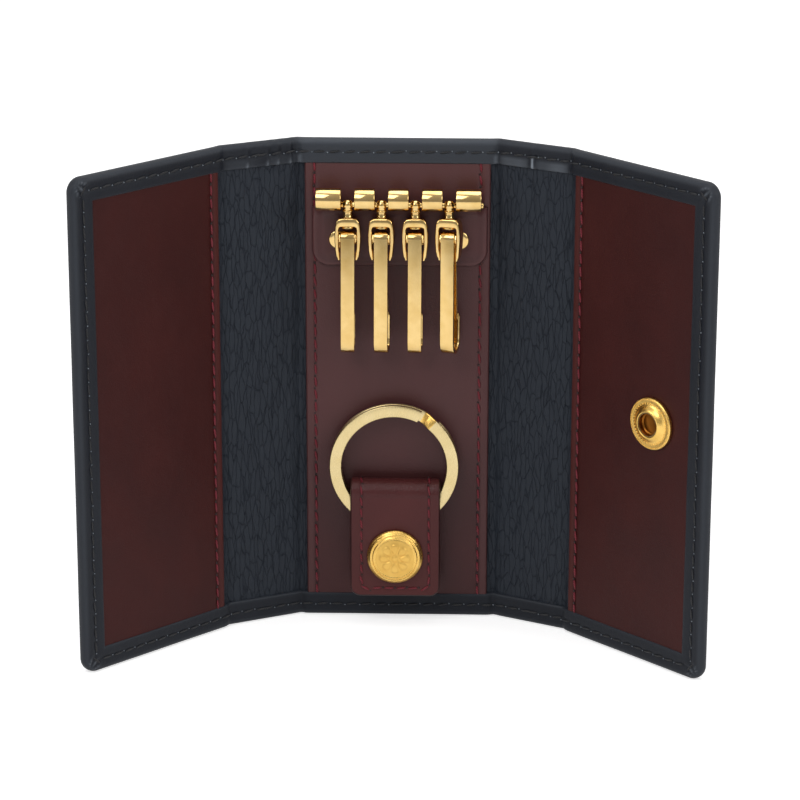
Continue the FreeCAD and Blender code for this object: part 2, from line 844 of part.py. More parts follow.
def build_strap():
    """Strap folded over the ring: its back ply and bend, its front flap and the snap that shuts it."""
    left = strap_shift - strap_width / 2
    back = block((left, panel_y - strap_ply, strap_back_end), (left + strap_width, panel_y, bend_height))
    bend = outline([
        (bend_outer, 0),
        ((0, bend_outer), (-bend_outer, 0)),
        (-bend_inner, 0),
        ((0, bend_inner), (bend_inner, 0)),
    ], on_side).extrude(ACROSS * strap_width)
    bend.translate(V(left, bend_y, bend_height))
    relief = strap_half * math.tan(math.radians(flap_open_angle / 2)) + crease_gap
    hinge = V(left - overrun, flap_y, bend_height)
    room = rod(strap_half + crease_gap, hinge, ACROSS, strap_width + 2 * overrun)
    trim = block(
        (left - overrun, flap_y - strap_ply, bend_height - overrun),
        (left + strap_width + overrun, flap_y, bend_height + relief),
    )
    back = back.fuse(bend.cut(room).cut(trim)).removeSplitter()

    right = left + strap_width
    slant = strap_corner * (1 - math.cos(math.radians(QUARTER_TURN / 2)))
    flap = outline([
        (left, bend_height),
        (left, strap_flap_end + strap_corner),
        ((left + slant, strap_flap_end + slant), (left + strap_corner, strap_flap_end)),
        (right - strap_corner, strap_flap_end),
        ((right - slant, strap_flap_end + slant), (right, strap_flap_end + strap_corner)),
        (right, bend_height),
    ], on_front).extrude(BACK * strap_ply)
    flap.translate(BACK * (flap_y - strap_half))

    def is_flap_rim(edge):
        box = edge.BoundBox
        flat = lies_at(box.YMin, box.YMax)
        return flat and not lies_at(box.ZMin, bend_height)

    flap = bevelled(flap, strap_edge_bevel, is_flap_rim)
    flap = flap.fuse(rod(strap_half, V(left, flap_y, bend_height), ACROSS, strap_width)).removeSplitter()

    snap = V(strap_shift, 0, strap_snap_height)
    hole = post_radius + post_fit
    inside = snap + BACK * (flap_y + strap_half)
    outside = snap + BACK * (flap_y - strap_half)
    stud_seat = snap + BACK * (panel_y - strap_ply)
    return {
        "strap_back": drilled(back, hole, [snap], BACK),
        "strap_flap": drilled(flap, hole, [snap], BACK),
        "strap_snap_cap": facing_front(snap_cap(strap_ply), outside),
        "strap_snap_socket": facing_back(snap_socket(), inside),
        "strap_snap_spring": facing_back(snap_spring(), inside),
        "strap_snap_stud": facing_front(snap_stud(), stud_seat),
        "strap_stud_eyelet": facing_front(snap_eyelet(strap_ply + panel_ply), stud_seat),
    }


def ring_section(angle, front):
    """Wire of the ring's flat section at an angle, with its front face at a height on the axis."""
    inner = ring_outer_radius - ring_band
    corners = [
        V(inner, 0, front - ring_layer), V(ring_outer_radius, 0, front - ring_layer),
        V(ring_outer_radius, 0, front), V(inner, 0, front)]
    wire = Part.makePolygon(corners + corners[:1])
    wire.rotate(V(0, 0, 0), UP, angle)
    return wire


def build_ring():
    """Split ring: one flat strip wound twice round, with the jog where it steps between its layers."""
    front = ring_thickness / 2
    step = ring_layer + ring_layer_gap
    jog_start = ring_jog_place - ring_jog_angle / 2
    jog_end = ring_jog_place + ring_jog_angle / 2
    sweep = FULL_TURN - ring_jog_angle - ring_end_gap_angle

    def drop(share):
        return step * share * share * (3 - 2 * share)

    shares = [k / ring_jog_steps for k in range(ring_jog_steps + 1)]
    sections = [ring_section(jog_start + ring_jog_angle * s, front - drop(s)) for s in shares]
    jog = Part.makeLoft(sections, True, True)
    upper = Part.Face(ring_section(jog_start, front)).revolve(V(0, 0, 0), UP, -sweep)
    lower = Part.Face(ring_section(jog_end, front - step)).revolve(V(0, 0, 0), UP, sweep)
    ring = upper.fuse(jog).fuse(lower).removeSplitter()

    samples = 240
    path = []
    for k in range(samples + 1):
        along = k / samples
        angle = jog_start - sweep + along * (2 * sweep + ring_jog_angle)
        share = min(max((angle - jog_start) / ring_jog_angle, 0), 1)
        path.append((angle, front - drop(share)))
    gaps = [
        abs(high - low) - ring_layer
        for angle, high in path for other, low in path
        if abs(abs(angle - other) - FULL_TURN) < FULL_TURN / samples]
    print("ring: least gap between turns", round(min(gaps), 3), "mm")
    return {"split_ring": moved(ring, ring_place, (ACROSS, QUARTER_TURN))}


def build_case():
    """All the pieces of the key case, by name."""
    pieces = {}
    for build in (build_covers, build_panels, build_wing_snap, build_rack, build_hooks, build_strap, build_ring):
        pieces.update(build())
    return pieces


os.makedirs("parts", exist_ok=True)
for node, piece in build_case().items():
    piece.exportStep(f"parts/{node}.step")
    print(node, round(piece.Volume, 2), piece.isValid(), len(piece.Solids))
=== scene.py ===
import logging
import math
from dataclasses import dataclass
from enum import Enum
from typing import Callable, Iterable, Sequence

import bmesh
import bpy
import numpy as np
from mathutils import Matrix, Vector


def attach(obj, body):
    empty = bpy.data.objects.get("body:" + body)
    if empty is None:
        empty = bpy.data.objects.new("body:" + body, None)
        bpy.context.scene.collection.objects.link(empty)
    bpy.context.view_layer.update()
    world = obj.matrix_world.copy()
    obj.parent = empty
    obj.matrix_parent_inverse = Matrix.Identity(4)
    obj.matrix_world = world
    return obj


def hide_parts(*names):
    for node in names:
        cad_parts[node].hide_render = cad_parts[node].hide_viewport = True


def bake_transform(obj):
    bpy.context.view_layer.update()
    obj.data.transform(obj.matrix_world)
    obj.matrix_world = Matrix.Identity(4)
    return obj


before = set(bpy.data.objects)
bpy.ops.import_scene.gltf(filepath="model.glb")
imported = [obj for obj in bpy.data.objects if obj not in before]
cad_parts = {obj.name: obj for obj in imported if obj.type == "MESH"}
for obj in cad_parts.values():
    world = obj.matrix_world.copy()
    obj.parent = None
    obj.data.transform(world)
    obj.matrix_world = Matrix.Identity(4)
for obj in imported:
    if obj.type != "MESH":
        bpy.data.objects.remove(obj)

LOG = logging.getLogger("key_case")
MM = 0.001
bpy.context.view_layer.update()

Array = np.ndarray
Material = bpy.types.Material
Node = bpy.types.Node
Piece = bpy.types.Object
Profile = Sequence[tuple[float, float]]
Tone = tuple[int, int, int]
Triple = tuple[float, float, float]


def smooth_step(value: Array) -> Array:
    """Ease from 0 to 1 as the value goes from 0 to 1."""
    share = np.clip(value, 0.0, 1.0)
    return share * share * (3.0 - 2.0 * share)


def bump_at(value: Array, centre: float, half: float) -> Array:
    """Bell curve of height 1 at a centre, with a half width."""
    return np.exp(-(((value - centre) / half) ** 2))


def rounded_rim(distance: Array, reach: float, power: float = 2.0, root: float = 0.5) -> Array:
    """Share of the full height near a rounded edge: 0 at the edge and 1 beyond its reach."""
    rest = np.clip(1.0 - distance / reach, 0.0, 1.0)
    return (1.0 - rest ** power) ** root


def ripple(u: Array, v: Array, seed: int, wave: float) -> Array:
    """Smooth irregular wave over a surface, within about -1 and 1.

    Args:
        u: First surface coordinate in millimetres.
        v: Second surface coordinate in millimetres.
        seed: Fixed seed of the wave's directions and phases.
        wave: Typical wave length in millimetres.

    Returns:
        The wave's height at each point.
    """
    waves, shortest, longest, usual_peak = 7, 0.6, 1.7, 4.0
    rng = np.random.default_rng(seed)
    total = np.zeros(np.broadcast(u, v).shape)
    for _ in range(waves):
        angle, phase = rng.uniform(0.0, 2.0 * math.pi, 2)
        length = wave * rng.uniform(shortest, longest)
        along = u * math.cos(angle) + v * math.sin(angle)
        total += np.sin(along * 2.0 * math.pi / length + phase)
    return total / usual_peak


def graded(start: float, end: float, step: float, marks: Iterable[float] = ()) -> Array:
    """Grid lines from start to end: even steps, with extra lines at marks.

    Args:
        start: First line in millimetres.
        end: Last line in millimetres.
        step: Even step between lines.
        marks: Places that get a line of their own.

    Returns:
        The sorted lines, with even lines that crowd a mark left out.
    """
    crowding = 0.45 * step
    count = max(2, int(round((end - start) / step)) + 1)
    even = np.linspace(start, end, count)
    own = np.array(sorted(m for m in marks if start < m < end))
    if len(own):
        near = np.min(np.abs(even[:, None] - own[None, :]), axis=1)
        even = even[(near > crowding) | (even == start) | (even == end)]
    return np.unique(np.round(np.concatenate([even, own]), 6))


def round_corner(a: Array, b: Array, radius: float) -> tuple[Array, Array]:
    """Distances from two edges that meet in a corner, moved on to rounded contours.

    Args:
        a: Distance from the first edge in millimetres.
        b: Distance from the second edge in millimetres.
        radius: Radius of the outermost contour.

    Returns:
        The moved distances.
    """
    edge, run = np.minimum(a, b), np.maximum(a, b)
    near = run < radius
    share = np.where(near, (run - edge) / np.maximum(radius - edge, 1e-9), 1.0)
    angle = np.radians(45.0) * (1.0 - share)
    long_side = radius - (radius - edge) * np.sin(angle)
    short_side = radius - (radius - edge) * np.cos(angle)
    first = np.where(near, np.where(a >= b, long_side, short_side), a)
    second = np.where(near, np.where(a >= b, short_side, long_side), b)
    return first, second


def evenly(steps: Profile, step: float) -> Array:
    """Flat points along straight runs through the steps.

    Args:
        steps: Corners of the path in millimetres.
        step: Largest distance between points.

    Returns:
        The points, in rows of two.
    """
    points = []
    for (a0, b0), (a1, b1) in zip(steps, steps[1:]):
        count = max(2, int(math.hypot(a1 - a0, b1 - b0) / step))
        points += [(a0 + (a1 - a0) * k / count, b0 + (b1 - b0) * k / count) for k in range(count)]
    points.append(steps[-1])
    return np.array(points)


def rounded_box(width: float, depth: float, ease: float) -> list[tuple[float, float]]:
    """Outline of a box with rounded corners, from 0 to its width and to a depth on both sides of 0.

    Args:
        width: Size along the first axis in millimetres.
        depth: Half size along the second axis.
        ease: Radius of the corners.

    Returns:
        The outline's points in order.
    """
    turns = 3
    far, top = width - ease, depth - ease
    points = []
    for quarter, (a, b) in enumerate(((far, top), (ease, top), (ease, -top), (far, -top))):
        for turn in range(turns + 1):
            angle = math.pi / 2 * (quarter + turn / turns)
            points.append((a + ease * math.cos(angle), b + ease * math.sin(angle)))
    return points


def linear(red: int, green: int, blue: int) -> tuple[float, float, float, float]:
    """Scene-linear colour of a display colour.

    Args:
        red: Red level of 0 to 255.
        green: Green level.
        blue: Blue level.

    Returns:
        The colour, opaque.
    """
    def channel(level: int) -> float:
        """Scene-linear value of one display channel."""
        share = level / 255.0
        return share / 12.92 if share <= 0.04045 else ((share + 0.055) / 1.055) ** 2.4
    return (channel(red), channel(green), channel(blue), 1.0)


def add_object(name: str, data: bpy.types.ID) -> Piece:
    """Put an object into the scene.

    Args:
        name: Object's name.
        data: Its mesh, lamp or camera.

    Returns:
        The object.
    """
    piece = bpy.data.objects.new(name, data)
    bpy.context.scene.collection.objects.link(piece)
    return piece


class NodeBoard:
    """Short notation for a tree of nodes."""

    def __init__(self, tree: bpy.types.NodeTree) -> None:
        """Start with the tree emptied."""
        self.tree = tree
        self.tree.nodes.clear()

    def add(self, kind: str, values: dict[str | int, object] | None = None, **settings: object) -> Node:
        """Add a node.

        Args:
            kind: Blender's own name of the node.
            values: What inputs hold, by name or number: a value, or a node and its output.
            settings: The node's properties.

        Returns:
            The node.
        """
        node = self.tree.nodes.new(kind)
        for key, value in settings.items():
            setattr(node, key, value)
        for key, value in (values or {}).items():
            if isinstance(value, tuple) and isinstance(value[0], Node):
                self.link(*value, node, key)
            else:
                node.inputs[key].default_value = value
        return node

    def link(self, source: Node, output: str | int, target: Node, entry: str | int) -> None:
        """Join an output to an input."""
        self.tree.links.new(source.outputs[output], target.inputs[entry])

    def ramp(self, source: Node, output: str, stops: Sequence[tuple[float, tuple]]) -> Node:
        """Colour ramp through stops.

        Args:
            source: Node that drives the ramp.
            output: Its output.
            stops: Place and colour of each stop.

        Returns:
            The ramp.
        """
        node = self.add("ShaderNodeValToRGB", {"Fac": (source, output)})
        points = node.color_ramp.elements
        while len(points) < len(stops):
            points.new(0.5)
        for point, (place, colour) in zip(points, stops):
            point.position = place
            point.color = colour
        return node


class NodeSketch(NodeBoard):
    """Node tree of a surface material."""

    # Numbers of the Mix node's sockets for colours.
    mix_factor, mix_first, mix_second, mix_result = 0, 6, 7, 2

    def __init__(self, name: str) -> None:
        """Start a material with a plain shader.

        Args:
            name: Material's name.
        """
        self.material = bpy.data.materials.new(name)
        self.material.use_nodes = True
        super().__init__(self.material.node_tree)
        self.shader = self.add("ShaderNodeBsdfPrincipled")
        self.add("ShaderNodeOutputMaterial", {"Surface": (self.shader, "BSDF")})

    def place(self, scale: Triple, flat: bool, turn: float = 0.0) -> Node:
        """Coordinates in millimetres times a scale.

        Args:
            scale: Repeats per millimetre along each axis.
            flat: True for the flat pattern's own map, False for the object's space.
            turn: Turn about the third axis in radians.

        Returns:
            The mapping node.
        """
        source = self.add("ShaderNodeUVMap", uv_map="flat") if flat else self.add("ShaderNodeTexCoord")
        return self.add("ShaderNodeMapping", {
            "Vector": (source, "UV" if flat else "Object"), "Scale": [share / MM for share in scale],
            "Rotation": (0.0, 0.0, turn)})

    def noise(self, mapping: Node, detail: float, rough: float, distortion: float = 0.0) -> Node:
        """Noise texture of unit scale on mapped coordinates."""
        return self.add("ShaderNodeTexNoise", {
            "Vector": (mapping, "Vector"), "Scale": 1.0, "Detail": detail, "Roughness": rough,
            "Distortion": distortion})

    def roughness(self, source: Node, low: float, high: float) -> None:
        """Feed the shader's roughness from a pattern of 0 to 1, mapped into a range."""
        node = self.add("ShaderNodeMapRange", {"Value": (source, "Fac"), "To Min": low, "To Max": high})
        self.link(node, "Result", self.shader, "Roughness")

    def relief(self, steps: Sequence[tuple[Node, str, float, float]]) -> None:
        """Chain of bumps on the shader's normal.

        Args:
            steps: Node, output, strength and height in millimetres of each bump.
        """
        before = None
        for node, output, strength, height in steps:
            bump = self.add("ShaderNodeBump", {
                "Height": (node, output), "Strength": strength, "Distance": height * MM})
            if before is not None:
                self.link(before, "Normal", bump, "Normal")
            before = bump
        self.link(before, "Normal", self.shader, "Normal")

    def cracks(self, flat: bool, scale: Triple, turn: float, width: float) -> Node:
        """Network of thin wavering cracks, dark on a light ground.

        Args:
            flat: True for the flat pattern's own map.
            scale: Cells per millimetre along each axis.
            turn: Turn of the network in radians.
            width: Half width of a crack, as a share of a cell.

        Returns:
            The colour ramp that holds the network.
        """
        waver, waver_scale = (0.9, 0.5, 0.0), (0.8, 0.5, 0.8)
        warp = self.noise(self.place(waver_scale, flat), 3.0, 0.6)
        shift = self.add("ShaderNodeVectorMath", {
            0: (warp, "Color"), 1: waver, 2: (self.place(scale, flat, turn), "Vector")},
            operation="MULTIPLY_ADD")
        cells = self.add("ShaderNodeTexVoronoi", {"Vector": (shift, "Vector"), "Scale": 1.0},
                         feature="DISTANCE_TO_EDGE")
        stops = [(0.0, (0, 0, 0, 1)), (width, (0.7, 0.7, 0.7, 1)), (width * 4.0, (1, 1, 1, 1))]
        return self.ramp(cells, "Distance", stops)

    def tint_colour(self, tone: Node, tint: Tone, factor: Node, output: str) -> None:
        """Feed the base colour: a ramp's tone, mixed towards the tint by a factor node's output."""
        node = self.add("ShaderNodeMix", {
            self.mix_factor: (factor, output), self.mix_first: (tone, "Color"),
            self.mix_second: linear(*tint)}, data_type="RGBA")
        self.link(node, self.mix_result, self.shader, "Base Color")


class Grain(Enum):
    """Surface of a leather."""

    SMOOTH = "smooth"
    WRINKLED = "wrinkled"
    CALF = "calf"


@dataclass(frozen=True)
class LeatherFinish:
    """Dyed leather with pores, tone changes, and a tint for worn edges, edge paint and painted highlights and
    sheen.
    """

    name: str
    tone: Tone
    deep: Tone
    tint: Tone
    grain: Grain
    rough_low: float
    rough_high: float
    gloss: float
    bite: float = 1.0
    flat: bool = True

    def build(self) -> Material:
        """Make the material.

        Returns:
            A procedural leather with relief, tone changes, wear and painted highlights and sheen.
        """
        sketch = NodeSketch(self.name)
        sketch.shader.inputs["Specular IOR Level"].default_value = self.gloss
        cloud = sketch.noise(sketch.place((0.07, 0.05, 0.07), self.flat), 3.0, 0.55)
        pores = sketch.noise(sketch.place((7.0, 7.0, 7.0), self.flat), 2.0, 0.5)
        tone = sketch.ramp(cloud, "Fac", [(0.3, linear(*self.deep)), (0.7, linear(*self.tone))])
        if self.grain is Grain.WRINKLED:
            self.add_cracked_grain(sketch, tone, pores)
        else:
            self.add_fine_grain(sketch, tone, cloud, pores)
        return sketch.material

    def add_cracked_grain(self, sketch: NodeSketch, tone: Node, pores: Node) -> None:
        """Cracks, creases and folds of a shrunken grain.

        Args:
            sketch: Material in the making.
            tone: Ramp of the leather's tones.
            pores: Noise of the pores.
        """
        cracks = sketch.cracks(self.flat, (0.95, 0.2, 1.0), 0.07, 0.03)
        creases = sketch.cracks(self.flat, (1.9, 0.75, 1.0), -0.2, 0.08)
        folds = sketch.noise(sketch.place((1.3, 0.4, 1.0), self.flat, 0.1), 4.0, 0.6, 0.4)
        sketch.tint_colour(tone, self.tint, cracks, "Color")
        sketch.relief([
            (folds, "Fac", 0.8, 0.22),
            (cracks, "Color", 1.0, 0.1),
            (creases, "Color", 0.5, 0.05),
            (pores, "Fac", 0.4, 0.03),
        ])
        sketch.roughness(folds, self.rough_high, self.rough_low)

    def add_fine_grain(self, sketch: NodeSketch, tone: Node, cloud: Node, pores: Node) -> None:
        """Small even cells of a smooth grain, tinted where the mesh says so: worn edges, edge paint, and
        painted highlights and sheen.

        Args:
            sketch: Material in the making.
            tone: Ramp of the leather's tones.
            cloud: Noise of the tones.
            pores: Noise of the pores.
        """
        smooth = self.grain is Grain.SMOOTH
        cell_scale, cell_strength = (2.6, 0.35) if smooth else (3.4, 0.22)
        # Tint from the mesh: wear and edge paint, and painted highlights and sheen.
        wear_and_sheen = sketch.add("ShaderNodeAttribute", attribute_name="wear_and_sheen")
        sketch.tint_colour(tone, self.tint, wear_and_sheen, "Fac")
        mapping = sketch.place((cell_scale, cell_scale, cell_scale), self.flat)
        cells = sketch.add("ShaderNodeTexVoronoi", {
            "Vector": (mapping, "Vector"), "Scale": 1.0, "Smoothness": 0.6}, feature="SMOOTH_F1")
        soft = sketch.noise(sketch.place((0.22, 0.16, 0.2), self.flat), 2.0, 0.5)
        steps = [(soft, "Fac", 0.35, 0.3)]
        if smooth:
            steps.append((sketch.cracks(self.flat, (0.75, 0.5, 1.0), 0.3, 0.06), "Color", 0.4, 0.05))
        steps.append((cells, "Distance", cell_strength, 0.05 * self.bite))
        steps.append((pores, "Fac", 0.3, 0.02 * self.bite))
        sketch.relief(steps)
        sketch.roughness(cloud, self.rough_low, self.rough_high)


@dataclass(frozen=True)
class MetalFinish:
    """Plated brass, polished, brushed or frosted."""

    name: str
    tone: Tone
    deep: Tone
    rough_low: float
    rough_high: float
    frost: float = 0.0
    brush: float = 0.0

    def build(self) -> Material:
        """Make the material.

        Returns:
            A procedural metal with tarnish, micro scratches and its own relief.
        """
        sketch = NodeSketch(self.name)
        sketch.shader.inputs["Metallic"].default_value = 1.0
        cloud = sketch.noise(sketch.place((0.35, 0.35, 0.35), False), 3.0, 0.5)
        tone = sketch.ramp(cloud, "Fac", [(0.25, linear(*self.deep)), (0.65, linear(*self.tone))])
        sketch.link(tone, "Color", sketch.shader, "Base Color")
        fine = sketch.noise(sketch.place((5.0, 5.0, 1.2 if self.brush else 5.0), False), 3.0, 0.6)
        sketch.roughness(fine, self.rough_low, self.rough_high)
        steps = [(fine, "Fac", 0.08, 0.01)]
        if self.frost:
            grit = sketch.noise(sketch.place((14.0, 14.0, 14.0), False), 1.0, 0.5)
            steps.append((grit, "Fac", self.frost, 0.03))
        if self.brush:
            lines = sketch.noise(sketch.place((9.0, 1.0, 9.0), False), 2.0, 0.5)
            steps.append((lines, "Fac", self.brush, 0.015))
        sketch.relief(steps)
        return sketch.material


@dataclass(frozen=True)
class ThreadFinish:
    """Waxed sewing thread with twisted strands."""

    name: str
    tone: Tone
    deep: Tone

    def build(self) -> Material:
        """Make the material.

        Returns:
            A procedural thread with strand lines and a soft sheen.
        """
        sketch = NodeSketch(self.name)
        sketch.shader.inputs["Sheen Weight"].default_value = 0.05
        mapping = sketch.place((1.1, 1.1, 1.1), False)
        strands = sketch.add("ShaderNodeTexWave", {
            "Vector": (mapping, "Vector"), "Scale": 1.0, "Distortion": 0.6},
            wave_type="BANDS", bands_direction="DIAGONAL")
        tone = sketch.ramp(strands, "Fac", [(0.1, linear(*self.deep)), (0.8, linear(*self.tone))])
        sketch.link(tone, "Color", sketch.shader, "Base Color")
        sketch.roughness(strands, 0.6, 0.45)
        sketch.relief([(strands, "Fac", 0.5, 0.06)])
        return sketch.material


class Finishes:
    """Every finish of the key case, built once."""

    def __init__(self) -> None:
        """Build the materials."""
        # The navy's pale tint: painted highlights on the hem, and its worn edges.
        self.navy = LeatherFinish(
            "navy_hide", (32, 35, 42), (27, 30, 37), (150, 158, 168), Grain.SMOOTH,
            rough_low=0.42, rough_high=0.56, gloss=0.2).build()
        self.lining = LeatherFinish(
            "navy_cracked_lining", (20, 26, 36), (15, 20, 30), (42, 47, 55), Grain.WRINKLED,
            rough_low=0.46, rough_high=0.62, gloss=0.2).build()
        # Its tint is a painted highlight on the raised strip beside the stitch.
        self.burgundy = LeatherFinish(
            "burgundy_calf", (64, 25, 23), (55, 21, 20), (118, 64, 60), Grain.CALF,
            rough_low=0.4, rough_high=0.52, gloss=0.16, bite=2.2).build()
        # Same calf with a lighter, greyer tone and more gloss: painted sheen of the centre panel and the
        # patch.
        self.burgundy_lit_centre = LeatherFinish(
            "burgundy_polished_calf", (70, 34, 35), (62, 30, 31), (118, 80, 80), Grain.CALF,
            rough_low=0.32, rough_high=0.44, gloss=0.27, bite=3.2).build()
        self.strap = LeatherFinish(
            "strap_calf", (86, 41, 41), (76, 35, 35), (38, 18, 18), Grain.CALF,
            rough_low=0.38, rough_high=0.5, gloss=0.24, bite=2.2).build()
        self.strap_bend = LeatherFinish(
            "strap_bend_calf", (82, 38, 38), (72, 32, 32), (38, 18, 18), Grain.CALF,
            rough_low=0.3, rough_high=0.4, gloss=0.27, bite=6.0).build()
        self.edge_paint = LeatherFinish(
            "dark_edge_paint", (46, 21, 22), (36, 16, 17), (60, 30, 30), Grain.CALF,
            rough_low=0.36, rough_high=0.48, gloss=0.3).build()
        self.board = LeatherFinish(
            "fibre_board", (120, 105, 84), (104, 90, 70), (130, 115, 95), Grain.CALF,
            rough_low=0.7, rough_high=0.9, gloss=0.2, flat=False).build()
        self.hook_gold = MetalFinish(
            "polished_hook_gold", (235, 202, 137), (222, 185, 115), rough_low=0.09, rough_high=0.18).build()
        self.ring_gold = MetalFinish(
            "brushed_ring_gold", (224, 203, 152), (218, 196, 142),
            rough_low=0.24, rough_high=0.32, brush=0.04).build()
        self.snap_gold = MetalFinish(
            "satin_snap_gold", (246, 203, 114), (234, 188, 96),
            rough_low=0.22, rough_high=0.34, frost=0.12).build()
        # Darker gold inside the socket's cup.
        self.dark_gold = MetalFinish(
            "dark_snap_gold", (150, 94, 34), (112, 64, 20), rough_low=0.24, rough_high=0.4).build()
        self.frosted_gold = MetalFinish(
            "frosted_snap_gold", (240, 196, 106), (228, 180, 90),
            rough_low=0.34, rough_high=0.46, frost=0.5).build()
        self.steel = MetalFinish(
            "spring_steel", (168, 142, 96), (138, 112, 70), rough_low=0.2, rough_high=0.36).build()
        self.navy_thread = ThreadFinish("navy_thread", (17, 19, 25), (9, 10, 14)).build()
        # Pale dots on the hem's thread: painted glints.
        self.thread_glint = ThreadFinish("painted_thread_glint", (128, 136, 144), (84, 92, 100)).build()
        self.crimson_thread = ThreadFinish("crimson_thread", (126, 13, 36), (88, 7, 23)).build()
        self.needle_hole = ThreadFinish("needle_hole", (30, 9, 12), (20, 6, 8)).build()


class MeshSketch:
    """Points in millimetres and faces that become one object."""

    def __init__(self, name: str) -> None:
        """Start an empty sketch.

        Args:
            name: Name of the object to come.
        """
        self.name = name
        self.points: list[Array] = []
        self.flat: list[Array] = []
        self.wear_and_sheen: list[Array] = []
        self.faces: list[list[int]] = []
        self.finish: list[int] = []
        self.count = 0

    def add_points(self, places: Array, flat: Array | None = None, wear_and_sheen: Array | None = None) -> Array:
        """Add points and return their indices.

        Args:
            places: Points in millimetres, in rows of three.
            flat: Flat pattern coordinates in millimetres, in rows of two.
            wear_and_sheen: Tint of 0 to 1 at each point, for wear, edge paint, and painted highlights and
                sheen.

        Returns:
            The index of each point.
        """
        amount = len(places)
        self.points.append(places)
        self.flat.append(np.zeros((amount, 2)) if flat is None else flat)
        self.wear_and_sheen.append(np.zeros(amount) if wear_and_sheen is None else wear_and_sheen)
        index = np.arange(self.count, self.count + amount)
        self.count += amount
        return index

    def add_grid(self, index: Array, closed: bool = False,
                 finish: Callable[[int, int], int] | None = None) -> None:
        """Add the quads of a grid of point indices.

        Args:
            index: Indices in rows and columns.
            closed: True where the last column joins the first.
            finish: Finish number of the face at a row and column.
        """
        rows, columns = index.shape
        for i in range(rows - 1):
            for j in range(columns if closed else columns - 1):
                k = (j + 1) % columns
                quad = (index[i, j], index[i + 1, j], index[i + 1, k], index[i, k])
                self.faces.append([int(corner) for corner in quad])
                self.finish.append(finish(i, j) if finish else 0)

    def add_walls(self, upper: Array, lower: Array, sides: Iterable[tuple[int, int]]) -> None:
        """Close the sides between two grids of the same shape.

        Args:
            upper: Indices of the upper grid.
            lower: Indices of the lower grid.
            sides: Axis, and 0 or -1 for its first or last line, of each side.
        """
        for axis, end in sides:
            self.add_grid(np.stack([upper.take(end, axis), lower.take(end, axis)]))

    def add_tube(self, rows: Sequence[Array], finish: Callable[[int, int], int] | None = None) -> None:
        """Add a tube through rings of points, with both ends closed.

        Args:
            rows: Indices of each ring.
            finish: Finish number of the face at a row and column.
        """
        self.add_grid(np.array(rows), closed=True, finish=finish)
        for ring in (rows[0], rows[-1]):
            self.faces.append([int(k) for k in ring])
            self.finish.append(0)

    def build(self, materials: Sequence[Material], sharp: float, matrix: Matrix | None = None) -> Piece:
        """Make the object, with merged points and faces outwards.

        Args:
            materials: Materials by finish number.
            sharp: Angle in degrees above which an edge stays sharp.
            matrix: Placement in millimetres that goes into the mesh.

        Returns:
            The object, at the origin.
        """
        merge, sliver = 2e-6, 1e-7
        places = np.concatenate(self.points)
        if matrix is not None:
            places = places @ np.array(matrix.to_3x3()).T + np.array(matrix.translation)
        mesh = bpy.data.meshes.new(self.name)
        mesh.from_pydata((places * MM).tolist(), [], self.faces)
        flat = np.concatenate(self.flat) * MM
        layer = mesh.uv_layers.new(name="flat")
        corner = np.zeros(len(mesh.loops), dtype=np.int32)
        mesh.loops.foreach_get("vertex_index", corner)
        layer.data.foreach_set("uv", flat[corner].astype(np.float32).ravel())
        # Tint of each point: wear and edge paint, and painted highlights and sheen.
        wear_and_sheen = mesh.attributes.new("wear_and_sheen", "FLOAT", "POINT")
        wear_and_sheen.data.foreach_set("value", np.concatenate(self.wear_and_sheen).astype(np.float32))
        for material in materials:
            mesh.materials.append(material)
        mesh.polygons.foreach_set("material_index", np.array(self.finish, dtype=np.int32))
        work = bmesh.new()
        work.from_mesh(mesh)
        bmesh.ops.remove_doubles(work, verts=work.verts, dist=merge)
        bmesh.ops.dissolve_degenerate(work, edges=work.edges, dist=sliver)
        bmesh.ops.recalc_face_normals(work, faces=work.faces)
        work.to_mesh(mesh)
        work.free()
        finish_mesh(mesh, sharp)
        return add_object(self.name, mesh)


def finish_mesh(mesh: bpy.types.Mesh, sharp: float) -> None:
    """Shade a mesh smooth, with edges above an angle left sharp.

    Args:
        mesh: Mesh to shade.
        sharp: That angle in degrees.
    """
    mesh.polygons.foreach_set("use_smooth", np.ones(len(mesh.polygons), dtype=bool))
    mesh.set_sharp_from_angle(angle=math.radians(sharp))
    mesh.update()


def ring_points(radius: float, height: float | Array, angle: Array) -> Array:
    """Points of a circle about Z, at one height or at a height for each angle."""
    heights = np.broadcast_to(height, angle.shape)
    return np.stack([radius * np.cos(angle), radius * np.sin(angle), heights], axis=1)


def full_turn(segments: int) -> Array:
    """Even angles once round, in radians."""
    return np.linspace(0.0, 2.0 * math.pi, segments, endpoint=False)


def lathe(name: str, profile: Profile, matrix: Matrix, material: Material, segments: int,
          sharp: float) -> Piece:
    """Turned piece about Z.

    Args:
        name: Object's name.
        profile: Radius and height of each step, in millimetres, from one end of the axis to the other.
        matrix: Placement in millimetres.
        material: Material of the piece.
        segments: Steps round the axis.
        sharp: Angle in degrees above which an edge stays sharp.

    Returns:
        The object, at the origin.
    """
    sketch = MeshSketch(name)
    angle = full_turn(segments)
    rows = [sketch.add_points(ring_points(radius, height, angle)) for radius, height in profile]
    sketch.add_grid(np.array(rows), closed=True)
    return sketch.build([material], sharp, matrix)


def rounded_profile(steps: Profile, radius: float) -> list[tuple[float, float]]:
    """Open profile with each inner corner rounded.

    Args:
        steps: Corners of the profile.
        radius: Largest rounding in millimetres.

    Returns:
        The profile with more points.
    """
    turns, largest_share = 3, 0.45
    result = [steps[0]]
    for before, here, after in zip(steps, steps[1:], steps[2:]):
        corner = Vector(here)
        first, second = Vector(before) - corner, Vector(after) - corner
        reach = min(radius, first.length * largest_share, second.length * largest_share)
        a = corner + first.normalized() * reach
        b = corner + second.normalized() * reach
        for k in range(turns + 1):
            t = k / turns
            point = a * (1 - t) ** 2 + corner * (2 * t * (1 - t)) + b * t ** 2
            result.append((point.x, point.y))
    result.append(steps[-1])
    return result


